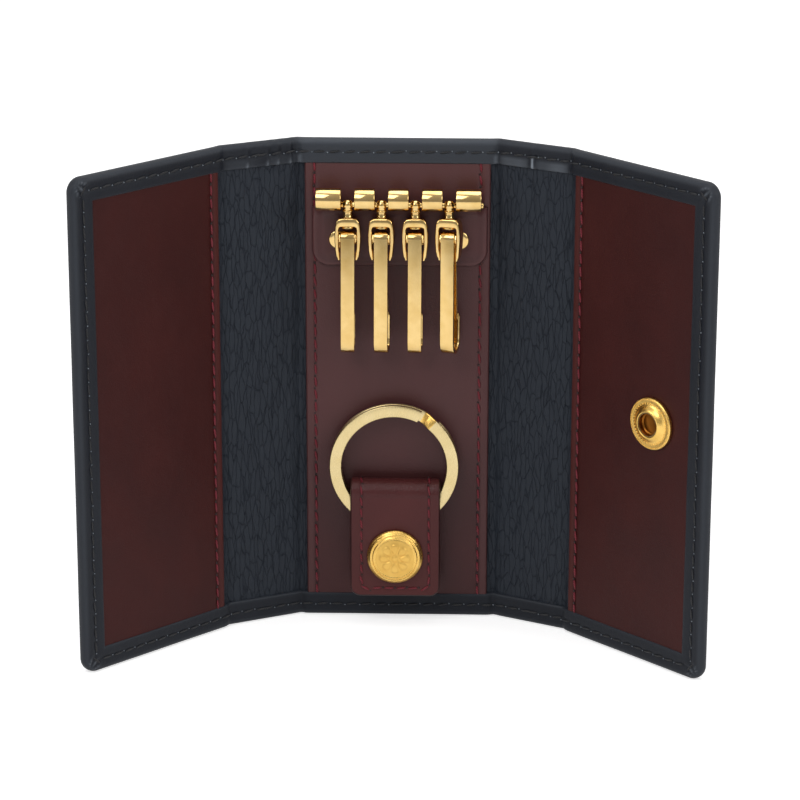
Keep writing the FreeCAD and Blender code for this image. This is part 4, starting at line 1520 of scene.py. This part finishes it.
@dataclass
class KeyRack:
    """Rolled rack with its axle, the leather patch over its flange and two rivets."""

    finishes: Finishes
    middle: float = 0.3
    patch_middle: float = 0.5
    patch_width: float = 37.4
    patch_bottom: float = 80.3
    patch_top: float = 93.4
    patch_corner: float = 3.6
    patch_rim: float = 0.55
    patch_lines: tuple[float, ...] = (0.05, 0.15, 0.3, 0.5, 0.75, 1.05, 1.4, 1.9, 2.5, 3.1, 3.6)
    neck_foot: float = 91.7
    neck_slope: float = 0.77
    # Painted sheen over the patch, as on the upper centre panel.
    painted_upper_sheen: float = 0.28
    patch_front: float = -2.35
    panel_front: float = -1.15
    rivet_spread: float = 13.0
    rivet_height: float = 86.3
    rivet_steps: Profile = (
        (0.0, 0.45), (0.7, 0.44), (1.35, 0.36), (1.8, 0.2), (2.0, 0.02), (1.85, -0.3), (0.0, -0.3))

    def build(self) -> None:
        """Build the rack's pieces."""
        gold = self.finishes.hook_gold
        for node, ease in (("rack_plate", 0.14), ("rack_axle", 0.12)):
            keep(bevelled_copy(node, f"{node}_gold", gold, ease), "centre", "hook_brass", node)
        self.build_patch()
        profile = rounded_profile(self.rivet_steps, radius=0.12)
        for side in Side:
            spot = Vector((self.middle + side.value * self.rivet_spread, self.patch_front, self.rivet_height))
            matrix = Matrix.Translation(spot) @ Matrix.Rotation(math.pi / 2, 4, "X")
            piece = lathe(f"patch_rivet_{side.word}", profile, matrix, gold, segments=40, sharp=35.0)
            nodes = ("rack_rivets",) if side is Side.LEFT else ()
            keep(piece, "centre", "hook_brass", *nodes)

    def patch_height(self, x: Array, z: Array, edge: Array) -> Array:
        """Height of the patch over the panel: shoulder round the flange, dips at the rivets and the neck.

        Args:
            x: Place across the case.
            z: Height above the bottom edge.
            edge: Distance from the patch's nearest edge.

        Returns:
            Height at each point in millimetres.
        """
        shoulder = 0.62 + 0.38 * smooth_step((edge - 0.9) / 1.6)
        rise = self.panel_front - self.patch_front
        ease = rounded_rim(edge, self.patch_rim)
        height = rise * shoulder * (0.12 + 0.88 * ease) + 0.03 * ripple(x, z, seed=41, wave=9.0)
        for side in Side:
            reach = np.hypot(x - self.middle - side.value * self.rivet_spread, z - self.rivet_height)
            height = height - 0.14 * bump_at(reach, 1.7, 0.9)
        neck = self.neck_slope * np.maximum(z - self.neck_foot, 0.0) * smooth_step(edge / 2.0)
        return np.maximum(height, 0.05) + neck

    def build_patch(self) -> None:
        """Leather patch with rounded lower corners, drawn over the flange and up under the knuckles."""
        left = self.patch_middle - self.patch_width / 2
        right = self.patch_middle + self.patch_width / 2
        x_marks = [mark for rim in self.patch_lines for mark in (left + rim, right - rim)]
        z_marks = [self.patch_bottom + rim for rim in self.patch_lines]
        x_line = graded(left, right, step=0.9, marks=x_marks)
        z_line = graded(self.patch_bottom, self.patch_top, step=0.7, marks=z_marks)
        x, z = np.meshgrid(x_line, z_line, indexing="ij")
        a, b = np.minimum(x - left, right - x), z - self.patch_bottom
        edge = np.minimum(a, b)
        new_a, new_b = round_corner(a, b, self.patch_corner)
        px = np.where(x < self.patch_middle, left + new_a, right - new_a)
        pz = self.patch_bottom + new_b
        height = self.patch_height(px, pz, edge)
        # Painted sheen over the patch, and its worn rim with a painted highlight.
        tint = (self.painted_upper_sheen + 0.2 * bump_at(edge, 0.5, 0.3)).ravel()
        sketch = MeshSketch("rack_patch_leather")
        pattern = np.stack([px.ravel(), pz.ravel()], axis=1)
        grids = []
        for depth in (self.panel_front - height, np.full(px.shape, self.panel_front + 0.02)):
            points = np.stack([px.ravel(), depth.ravel(), pz.ravel()], axis=1)
            grids.append(sketch.add_points(points, pattern, tint).reshape(x.shape))
            sketch.add_grid(grids[-1])
        sketch.add_walls(*grids, ((0, 0), (0, -1), (1, 0), (1, -1)))
        patch = sketch.build([self.finishes.burgundy_lit_centre], sharp=60.0)
        keep(patch, "centre", "burgundy_leather", "rack_patch")


@dataclass
class SwivelHooks:
    """Four swivel hooks: stem on the axle, yoke, pin, strip hook and sprung gate."""

    finishes: Finishes
    spots: tuple[float, ...] = (-10.425, -3.275, 3.875, 11.025)
    axle_y: float = -5.25
    axle_height: float = 94.74
    tilt: float = math.radians(-5.0)
    twists: tuple[float, ...] = (0.0, -5.0, -3.0, -16.0)
    eye_radius: float = 1.2
    eye_turn: float = math.radians(128.0)
    stem_steps: Profile = (
        (0.95, -1.1), (1.16, -1.16), (1.18, -1.44), (0.96, -1.5), (1.0, -2.2), (1.12, -2.65),
        (0.66, -2.71), (0.66, -4.6), (1.3, -4.6), (1.35, -4.95), (0.0, -5.0))
    yoke_drop: float = 2.75
    yoke_half_depth: float = 1.45
    yoke_edge: float = 0.32
    yoke_taper: float = 0.5
    yoke_outer: Profile = (
        (0.0, 0.0), (1.2, 0.0), (1.9, -0.16), (2.34, -0.62), (2.58, -1.5), (2.74, -3.2), (2.74, -4.8),
        (2.6, -6.8), (2.4, -8.2), (2.05, -8.95))
    yoke_inner: Profile = (
        (0.0, -1.8), (1.0, -1.8), (1.55, -1.84), (1.82, -2.02), (1.92, -2.4), (1.93, -3.4), (1.93, -4.8),
        (1.9, -6.4), (1.68, -7.6), (1.64, -8.95))

    def build_yoke(self, name: str, place: Matrix) -> Piece:
        """Horseshoe yoke: a band with eased edges, swept round the hook's head and taller at its crown.

        Args:
            name: Object's name.
            place: Placement of the yoke's top in millimetres.

        Returns:
            The object, at the origin.
        """
        steps = np.arange(0.0, len(self.yoke_outer) - 0.999, 0.25)
        halves = []
        for line in (self.yoke_outer, self.yoke_inner):
            index = np.arange(len(line))
            half = np.stack([np.interp(steps, index, part) for part in np.array(line).T], axis=1)
            halves.append(np.concatenate([(half * (-1.0, 1.0))[:0:-1], half]))
        sketch = MeshSketch(name)
        rows = []
        for outer, inner in zip(*halves):
            width = float(np.linalg.norm(inner - outer))
            taper = float(smooth_step((-6.4 - (outer[1] + inner[1]) / 2) / 2.5))
            depth = self.yoke_half_depth - self.yoke_taper * taper
            ring = []
            for along, y in rounded_box(width, depth, min(self.yoke_edge, width * 0.42)):
                x, z = outer + (inner - outer) / width * along
                ring.append((x, y, z))
            rows.append(sketch.add_points(np.array(ring)))
        sketch.add_tube(rows)
        return sketch.build([self.finishes.hook_gold], sharp=50.0, matrix=place)

    def build(self) -> None:
        """Build each hook's pieces."""
        gold = self.finishes.hook_gold
        ball = [
            (self.eye_radius * math.sin(t), self.eye_radius * math.cos(t))
            for t in np.linspace(0.0, self.eye_turn, 14)]
        profile = ball[:-1] + rounded_profile([ball[-1], *self.stem_steps], radius=0.08)
        hang = Matrix.Rotation(self.tilt, 4, "X")
        drop = Matrix.Translation((0.0, 0.0, -self.yoke_drop))
        for number, (spot, twist) in enumerate(zip(self.spots, self.twists), 1):
            hook = f"hook_{number}"
            place = Matrix.Translation((spot, self.axle_y, self.axle_height)) @ hang
            stem = lathe(f"{hook}_ball_stem", profile, place, gold, segments=28, sharp=45.0)
            keep(stem, f"{hook}_swivel_stem", "hook_brass", f"{hook}_stem")
            turned = place @ Matrix.Rotation(math.radians(twist), 4, "Z") @ drop
            keep(self.build_yoke(f"{hook}_horseshoe", turned), hook, "hook_brass", f"{hook}_yoke")
            latch = f"{hook}_latch"
            for part, body, ease in (("pin", hook, 0.12), ("body", hook, 0.2), ("gate", latch, 0.08)):
                node = f"{hook}_{part}"
                keep(bevelled_copy(node, f"{node}_gold", gold, ease), body, "hook_brass", node)


@dataclass
class PressSnap:
    """Cap, socket and stud of one press snap."""

    finishes: Finishes
    beads: BeadTree
    name: str
    cap_radius: float = 6.1
    field_radius: float = 4.2
    cap_back: Profile = ((6.1, 0.5), (6.1, 0.3), (6.02, 0.1), (5.8, 0.0), (1.75, 0.0), (1.75, -2.55))
    face_steps: Profile = (
        (2.66, 0.0), (5.5, 0.0), (5.65, 0.25), (5.62, 0.82), (5.4, 1.02), (4.9, 1.0), (4.5, 0.98), (3.9, 1.2),
        (3.4, 1.62), (3.0, 1.88), (2.76, 1.9), (2.64, 1.8), (2.9, 1.74), (2.9, 1.25), (2.66, 1.23),
        (2.66, 0.0))
    cup_steps: Profile = (
        (0.0, 0.3), (2.25, 0.34), (2.56, 0.6), (2.58, 1.22), (2.68, 1.22), (2.68, 0.0), (0.0, 0.0))
    stud_steps: Profile = (
        (1.8, 0.0), (4.85, 0.0), (5.0, 0.2), (4.9, 0.5), (4.2, 0.62), (2.3, 0.64), (2.0, 0.85), (2.02, 1.2),
        (2.2, 1.65), (2.1, 1.98), (1.75, 2.18), (0.6, 2.2), (0.0, 2.12))
    bead_rows: tuple[tuple[int, float, float, float], ...] = ((84, 5.3, 0.17, 1.0), (40, 4.4, 0.23, 0.98))

    def cap_height(self, r: float, angle: Array) -> Array:
        """Height of the cap's face: rolled rim, two stepped rings and a low flower in the field.

        Args:
            r: Distance from the cap's axis in millimetres.
            angle: Angles round the axis in radians.

        Returns:
            Height at each angle.
        """
        share = np.clip(r / self.cap_radius, 0.0, 1.0)
        dome = 0.35 + 1.55 * np.sqrt(np.clip(1.0 - share ** 2.6, 0.0, 1.0))
        rings = ((0.14, 5.35, 0.24), (-0.09, 4.98, 0.14), (0.1, 4.66, 0.2), (-0.08, 4.36, 0.15))
        stepped = sum(rise * bump_at(r, place, half) for rise, place, half in rings)
        inside = smooth_step((4.3 - r) / 0.4)
        leaf = np.abs(np.cos(4.0 * angle)) ** 0.8
        reach = np.clip(np.sin(math.pi * np.clip((r - 0.75) / 3.0, 0.0, 1.0)), 0.0, 1.0)
        flower = 0.2 * smooth_step((leaf * reach - 0.28) / 0.35) + 0.22 * smooth_step((0.72 - r) / 0.2)
        return dome + stepped + inside * (flower - 0.06)

    def build_cap(self, matrix: Matrix, body: str, node: str) -> None:
        """Domed cap on the leather's outer face.

        Args:
            matrix: Placement in millimetres, its Z off the leather.
            body: CAD body that it rides on.
            node: CAD node that it stands for.
        """
        field, rim = self.field_radius, 5.7
        angle = full_turn(96)
        radii = np.unique(np.concatenate([
            np.linspace(0.06, field, 24), np.linspace(field, rim, 22), np.linspace(rim, 6.05, 8)]))
        sketch = MeshSketch(f"{self.name}_cap_gold")
        steps = [(r, self.cap_height(r, angle)) for r in radii] + list(self.cap_back)
        rows = [sketch.add_points(ring_points(radius, height, angle)) for radius, height in steps]
        sketch.add_tube(rows, finish=lambda i, j: int(i < len(radii) and radii[i] < field))
        materials = [self.finishes.snap_gold, self.finishes.frosted_gold]
        keep(sketch.build(materials, sharp=50.0, matrix=matrix), body, "snap_brass", node)

    def build_socket(self, matrix: Matrix, body: str, node: str) -> None:
        """Socket with a beaded rim, a sloping face and a deep dark mouth.

        Args:
            matrix: Placement in millimetres, its Z off the leather.
            body: CAD body that it rides on.
            node: CAD node that it stands for.
        """
        gold, dark = self.finishes.snap_gold, self.finishes.dark_gold
        face, cup = (rounded_profile(steps, radius=0.12) for steps in (self.face_steps, self.cup_steps))
        ring = lathe(f"{self.name}_socket_gold", face, matrix, gold, segments=72, sharp=50.0)
        keep(ring, body, "snap_brass", node)
        mouth = lathe(f"{self.name}_socket_cup", cup, matrix, dark, segments=48, sharp=50.0)
        keep(mouth, body, "snap_brass")
        placed = matrix.copy()
        placed.translation = matrix.translation * MM
        for row, (count, radius, size, rise) in enumerate(self.bead_rows, 1):
            name = f"{self.name}_socket_beads_{row}"
            beads = self.beads.bake(add_object(name, bpy.data.meshes.new(name)), {
                "Count": count, "Radius": radius * MM, "Bead": size * MM, "Rise": rise * MM, "Metal": gold})
            beads.data.transform(placed)
            keep(beads, body, "snap_brass")

    def build_stud(self, matrix: Matrix, body: str, node: str) -> None:
        """Stud with a flange, a neck and a bulb.

        Args:
            matrix: Placement in millimetres, its Z off the leather.
            body: CAD body that it rides on.
            node: CAD node that it stands for.
        """
        profile = rounded_profile(self.stud_steps, radius=0.15)
        gold = self.finishes.snap_gold
        stud = lathe(f"{self.name}_stud_gold", profile, matrix, gold, segments=56, sharp=50.0)
        keep(stud, body, "snap_brass", node)


@dataclass
class WingSnap:
    """Snap that shuts the case: socket and cap on the right wing, stud on the left wing."""

    finishes: Finishes
    beads: BeadTree
    case: LeatherCase
    reach: float = 25.4
    stud_reach: float = 17.24
    height: float = 54.0

    def build(self) -> None:
        """Build the snap's pieces."""
        snap = PressSnap(self.finishes, self.beads, "wing_snap")
        fold, inside, outside = self.case.fold, self.case.panel_top, self.case.outer_face
        right = fold.second_crease + self.reach
        left = -fold.second_crease - self.stud_reach
        snap.build_socket(fold.frame(right, self.height, inside, False), "right_wing", "wing_snap_socket")
        snap.build_cap(fold.frame(right, self.height, outside, True), "right_wing", "wing_snap_cap")
        snap.build_stud(fold.frame(left, self.height, outside, True), "left_wing", "wing_snap_stud")
        dress_node("wing_snap_spring", self.finishes.steel)
        dress_node("wing_stud_eyelet", self.finishes.snap_gold)


@dataclass
class StrapAndRing:
    """Folded strap with its snap, and the split ring that it holds."""

    finishes: Finishes
    beads: BeadTree
    stitches: StitchTree
    middle: float = -0.3
    width: float = 19.5
    ply: float = 1.45
    back_y: float = -1.875
    bend_y: float = -4.075
    bend_height: float = 30.075
    flap_y: float = -6.275
    back_end: float = 8.0
    flap_end: float = 6.7
    corner: float = 2.2
    rim: float = 0.45
    rim_lines: tuple[float, ...] = (0.04, 0.12, 0.25, 0.42, 0.65, 1.0, 1.4, 1.8, 2.1, 2.4, 2.7, 3.1)
    cut_share: float = 0.22
    blend_above: float = 0.8
    blend_below: float = 1.1
    snap_height: float = 16.15
    ring_centre: Triple = (-0.6, -4.075, 36.0)
    ring_outer: float = 14.0
    ring_band: float = 2.6
    ring_layer: float = 0.95
    ring_gap: float = 0.45
    ring_edge: float = 0.26
    ring_jog: tuple[float, float] = (48.5, 61.5)
    ring_sweep: float = 344.0
    stitch_side: float = 2.4
    stitch_foot: float = 1.95

    @property
    def rise(self) -> float:
        """Length of the strap's back, up to the bend."""
        return self.bend_height - self.back_end

    @property
    def radius(self) -> float:
        """Radius of the bend's middle line."""
        return self.bend_y - self.flap_y

    @property
    def arc(self) -> float:
        """Length of the bend's middle line."""
        return math.pi * self.radius

    @property
    def length(self) -> float:
        """Whole length of the strap's middle line."""
        return self.rise + self.arc + self.bend_height - self.flap_end

    def run(self, t: Array) -> tuple[Array, Array, Array, Array]:
        """Middle line of the strap and its outward direction.

        Args:
            t: Distance along the strap from its back end.

        Returns:
            Depth, height, and the outward direction's depth and height.
        """
        angle = np.clip((t - self.rise) / self.radius, 0.0, math.pi)
        y = self.bend_y + self.radius * np.cos(angle)
        z = self.bend_height + self.radius * np.sin(angle)
        z = np.where(t < self.rise, self.back_end + t, z)
        z = np.where(t > self.rise + self.arc, self.bend_height - (t - self.rise - self.arc), z)
        return y, z, np.cos(angle), np.sin(angle)

    def face_height(self, w: Array, t: Array) -> Array:
        """Height of the strap's outer face off its middle line: stitch lane, dip round the snap and waves.

        Args:
            w: Place across the strap.
            t: Distance along the strap.

        Returns:
            Height at each point in millimetres.
        """
        from_side, from_end = self.width / 2 - np.abs(w), self.length - t
        lane = bump_at(from_side, self.stitch_side, 0.4) * smooth_step((from_end - 1.6) / 0.8)
        foot = bump_at(from_end, self.stitch_foot, 0.4) * smooth_step((from_side - 1.9) / 0.8)
        height = self.ply / 2 - 0.16 * np.maximum(lane, foot) + 0.05 * ripple(w, t, seed=51, wave=11.0)
        reach = np.hypot(w, from_end - (self.snap_height - self.flap_end))
        return height - 0.16 * bump_at(reach, 6.0, 1.4)

    def build_ply(self, name: str, first: float, last: float) -> Piece:
        """Stretch of the strap with eased, painted edges, shut where it is cut.

        Args:
            name: Object's name.
            first: Distance along the strap where it starts.
            last: Distance along the strap where it ends.

        Returns:
            The piece, at the origin.
        """
        total, half = self.length, self.width / 2
        w_marks = [mark for rim in self.rim_lines for mark in (rim - half, half - rim)]
        t_marks = [mark for rim in self.rim_lines for mark in (rim, total - rim)]
        w_line = graded(-half, half, step=0.8, marks=w_marks)
        t_line = graded(first, last, step=0.6, marks=t_marks)
        w, t = np.meshgrid(w_line, t_line, indexing="ij")
        a, b = half - np.abs(w), np.minimum(t, total - t)
        edge = np.minimum(a, b)
        new_a, new_b = round_corner(a, b, self.corner)
        pw = np.sign(w) * (half - new_a)
        pt = np.where(t < total / 2, new_b, total - new_b)
        ease = rounded_rim(edge, self.rim, 2.4)
        y, z, out_y, out_z = self.run(pt)
        bend = bump_at(pt, self.rise + 3.4, 3.0)
        crinkle = 0.04 * bend * ripple(pw * 2.0, pt * 2.0, seed=52, wave=3.0)
        painted = np.clip(1.0 - edge / 0.4, 0.0, 1.0).ravel()
        sketch = MeshSketch(name)
        pattern = np.stack([pw.ravel(), pt.ravel()], axis=1)

        def finish(i: int, j: int) -> int:
            """Finish number of a face.

            Args:
                i: Face's row.
                j: Face's column.

            Returns:
                0 for leather, 1 for the painted edge or 2 for the shiny bend.
            """
            if min(half - abs(w_line[i] + w_line[i + 1]) / 2, total - t_line[j + 1] + 0.05) < 0.3:
                return 1
            return 2 if 0.35 * self.arc < t_line[j] - self.rise < self.arc + 0.6 else 0

        grids = []
        for height in (self.face_height(pw, pt) * ease, -self.ply / 2 * ease):
            off = height + crinkle * np.sign(height)
            points = np.stack([self.middle + pw, y + out_y * off, z + out_z * off], axis=-1).reshape(-1, 3)
            grids.append(sketch.add_points(points, pattern, painted).reshape(w.shape))
            sketch.add_grid(grids[-1], finish=finish)
        sketch.add_walls(*grids, [(1, 0 if first > 0.0 else -1)])
        materials = [self.finishes.strap, self.finishes.edge_paint, self.finishes.strap_bend]
        return sketch.build(materials, sharp=60.0)

    def build_strap(self) -> None:
        """Strap in two pieces, the back with the start of its bend and the flap, and the flap's stitches."""
        total, half = self.length, self.width / 2
        cut = self.rise + self.cut_share * self.arc
        keep(self.build_ply("key_strap_back_leather", 0.0, cut), "centre", "strap_leather", "strap_back")
        flap = self.build_ply("key_strap_leather", cut, total)
        self.bend(flap)
        dress(flap, "strap_leather", "strap_flap")
        side, low, start = half - self.stitch_side, total - self.stitch_foot, self.rise + 2.0
        points = evenly([(-side, start), (-side, low), (side, low), (side, start)], 0.4)
        y, z, out_y, out_z = self.run(points[:, 1])
        lift = np.stack([np.zeros(len(points)), out_y, out_z], axis=1)
        line = np.stack([self.middle + points[:, 0], y, z], axis=1) + lift * (self.ply / 2 - 0.05)
        style = StitchStyle(
            pitch=2.6, length=2.0, width=0.5, height=0.42, slant=0.12, jitter=0.07, dot=0.24, seed=5,
            thread=self.finishes.crimson_thread, dot_finish=self.finishes.needle_hole)
        thread = self.stitches.sew("key_strap_stitches", [line], [lift], style)
        self.bend(thread)
        dress(thread, "strap_leather")

    def bend(self, piece: Piece) -> None:
        """Bake a piece's placement into its mesh; it is not bent at the strap's hinge line."""
        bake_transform(piece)

    def build_snap(self) -> None:
        """Snap that shuts the strap."""
        snap = PressSnap(self.finishes, self.beads, "strap_snap")
        half = self.ply / 2

        def at(y: float, turn: float) -> Matrix:
            """Placement on the snap's axis at a depth."""
            return Matrix.Translation((self.middle, y, self.snap_height)) @ Matrix.Rotation(turn, 4, "X")

        front, back = math.pi / 2, -math.pi / 2
        snap.build_cap(at(self.flap_y - half, front), "strap_front", "strap_snap_cap")
        snap.build_socket(at(self.flap_y + half, back), "strap_front", "strap_snap_socket")
        snap.build_stud(at(self.back_y - half, front), "centre", "strap_snap_stud")
        dress_node("strap_snap_spring", self.finishes.steel)
        dress_node("strap_stud_eyelet", self.finishes.snap_gold)

    def build_ring(self) -> None:
        """Split ring: a flat strip wound twice, with its jog between the layers."""
        jog_start, jog_end = self.ring_jog
        angles = np.concatenate([
            np.linspace(jog_start - self.ring_sweep, jog_start, 112, endpoint=False),
            np.linspace(jog_start, jog_end, 20, endpoint=False),
            np.linspace(jog_end, jog_end + self.ring_sweep, 113)])
        step = self.ring_layer + self.ring_gap
        depths = step * (smooth_step((angles - jog_start) / (jog_end - jog_start)) - 0.5)
        band, y = np.array(rounded_box(self.ring_band, self.ring_layer / 2, self.ring_edge)).T
        r = self.ring_outer - self.ring_band + band
        sketch = MeshSketch("split_ring_gold")
        x0, y0, z0 = self.ring_centre
        rows = []
        for angle, depth in zip(np.radians(angles), depths):
            points = [x0 + r * math.cos(angle), y0 + depth + y, z0 + r * math.sin(angle)]
            rows.append(sketch.add_points(np.stack(points, axis=1)))
        # Painted reflection: the jog's faces take the deeper snap gold.
        sketch.add_tube(rows, finish=lambda i, j: int(jog_start < angles[i] < jog_end - 1.0))
        piece = sketch.build([self.finishes.ring_gold, self.finishes.snap_gold], sharp=50.0)
        keep(piece, "ring", "ring_brass", "split_ring")


@dataclass(frozen=True)
class SoftBox:
    """One area lamp of the studio."""

    name: str
    place: Triple
    aim: Triple
    size: float
    power: float


@dataclass
class Studio:
    """Pale floor, soft light and the camera."""

    target: Triple = (0.575, -1.15, 50.06)
    eye: Triple = (19.3, -697.2, 281.2)
    lens: float = 152.6
    roll: float = 0.1
    floor_half: float = 3.0
    floor_tone: float = 0.86
    floor_glow: float = 0.56
    mirrored_glow: float = 0.32
    room_light: float = 0.4
    lamps: tuple[SoftBox, ...] = (
        SoftBox("key_lamp", (-0.45, -0.75, 0.95), (0.0, 0.0, 0.05), 0.7, 4.6),
        SoftBox("fill_lamp", (0.75, -0.55, 0.6), (0.0, 0.0, 0.05), 0.6, 2.2),
        SoftBox("top_lamp", (0.05, 0.15, 1.1), (0.0, 0.0, 0.05), 0.8, 4.0),
        SoftBox("left_edge_lamp", (-0.75, -0.3, 0.4), (0.0, 0.0, 0.06), 0.3, 1.2),
        SoftBox("right_edge_lamp", (0.75, -0.3, 0.4), (0.0, 0.0, 0.06), 0.3, 1.2),
    )

    def build(self) -> None:
        """Set the stage."""
        self.build_floor()
        self.build_world()
        for lamp in self.lamps:
            light = bpy.data.lights.new(lamp.name, "AREA")
            light.energy = lamp.power
            light.size = lamp.size
            holder = add_object(lamp.name, light)
            holder.location = lamp.place
            beam = Vector(lamp.aim) - Vector(lamp.place)
            holder.rotation_euler = beam.to_track_quat("-Z", "Y").to_euler()
        self.build_camera()
        bpy.context.scene.view_settings.view_transform = "Standard"

    def build_floor(self) -> None:
        """Pale floor that stays white in view and keeps the object's shadow."""
        half = self.floor_half
        mesh = bpy.data.meshes.new("pale_floor")
        corners = [(-half, -half, 0), (half, -half, 0), (half, half, 0), (-half, half, 0)]
        mesh.from_pydata(corners, [], [(0, 1, 2, 3)])
        floor = add_object("pale_floor", mesh)
        material = bpy.data.materials.new("pale_floor")
        material.use_nodes = True
        board = NodeBoard(material.node_tree)
        tone = (self.floor_tone, self.floor_tone, self.floor_tone, 1.0)
        matt = board.add("ShaderNodeBsdfDiffuse", {"Color": tone})
        rays = board.add("ShaderNodeLightPath")
        mirrored = board.add("ShaderNodeMath", {
            0: (rays, "Is Glossy Ray"), 1: (rays, "Is Transmission Ray")}, operation="MAXIMUM")
        dim = board.add("ShaderNodeMath", {0: (mirrored, 0), 1: self.mirrored_glow}, operation="MULTIPLY")
        level = board.add("ShaderNodeMath", {
            0: (rays, "Is Camera Ray"), 1: self.floor_glow, 2: (dim, 0)}, operation="MULTIPLY_ADD")
        glow = board.add("ShaderNodeEmission", {"Color": (1.0, 1.0, 1.0, 1.0), "Strength": (level, 0)})
        both = board.add("ShaderNodeAddShader", {0: (matt, 0), 1: (glow, 0)})
        board.add("ShaderNodeOutputMaterial", {"Surface": (both, 0)})
        mesh.materials.append(material)

    def build_world(self) -> None:
        """Soft white room, dimmer as a light than it looks."""
        world = bpy.data.worlds.new("soft_room")
        bpy.context.scene.world = world
        world.use_nodes = True
        board = NodeBoard(world.node_tree)
        rays = board.add("ShaderNodeLightPath")
        seen = board.add("ShaderNodeMath", {
            0: (rays, "Is Camera Ray"), 1: (rays, "Is Transmission Ray")}, operation="MAXIMUM")
        way = board.add("ShaderNodeTexCoord")
        split = board.add("ShaderNodeSeparateXYZ", {0: (way, "Generated")})
        ceiling = board.ramp(split, "Z", [(0.0, (0.2, 0.2, 0.21, 1.0)), (0.75, (0.85, 0.85, 0.86, 1.0))])
        room = board.add("ShaderNodeBackground", {
            "Color": (ceiling, "Color"), "Strength": self.room_light})
        depth = board.add("ShaderNodeMapRange", {"Value": (split, "Y"), "From Min": -1.0, "From Max": 0.6})
        backdrop = board.ramp(depth, "Result", [(0.0, (0.3, 0.3, 0.3, 1.0)), (1.0, (0.9, 0.9, 0.9, 1.0))])
        mirrored = board.add("ShaderNodeBackground", {"Color": (backdrop, "Color")})
        white = board.add("ShaderNodeBackground", {"Color": (1.0, 1.0, 1.0, 1.0)})
        lit = board.add("ShaderNodeMixShader", {
            0: (rays, "Is Glossy Ray"), 1: (room, 0), 2: (mirrored, 0)})
        both = board.add("ShaderNodeMixShader", {0: (seen, 0), 1: (lit, 0), 2: (white, 0)})
        board.add("ShaderNodeOutputWorld", {"Surface": (both, 0)})

    def build_camera(self) -> None:
        """Camera at the photograph's angle."""
        data = bpy.data.cameras.new("camera")
        data.lens = self.lens
        data.sensor_width = 36.0
        data.sensor_fit = "HORIZONTAL"
        data.clip_start = 0.01
        camera = add_object("camera", data)
        eye, target = Vector(self.eye) * MM, Vector(self.target) * MM
        turn = (target - eye).to_track_quat("-Z", "Y").to_matrix()
        camera.location = eye
        camera.rotation_euler = (turn @ Matrix.Rotation(math.radians(self.roll), 3, "Z")).to_euler()
        bpy.context.scene.camera = camera


def main() -> None:
    """Build every sub-assembly in order."""
    logging.basicConfig(level=logging.INFO, format="%(name)s %(message)s")
    finishes = Finishes()
    stitches = StitchTree()
    beads = BeadTree()
    case = LeatherCase(finishes, stitches)
    case.build_cover()
    case.build_panels()
    case.dress_boards()
    KeyRack(finishes).build()
    SwivelHooks(finishes).build()
    WingSnap(finishes, beads, case).build()
    strap = StrapAndRing(finishes, beads, stitches)
    strap.build_strap()
    strap.build_snap()
    strap.build_ring()
    Studio().build()


if __name__ == "__main__":
    main()
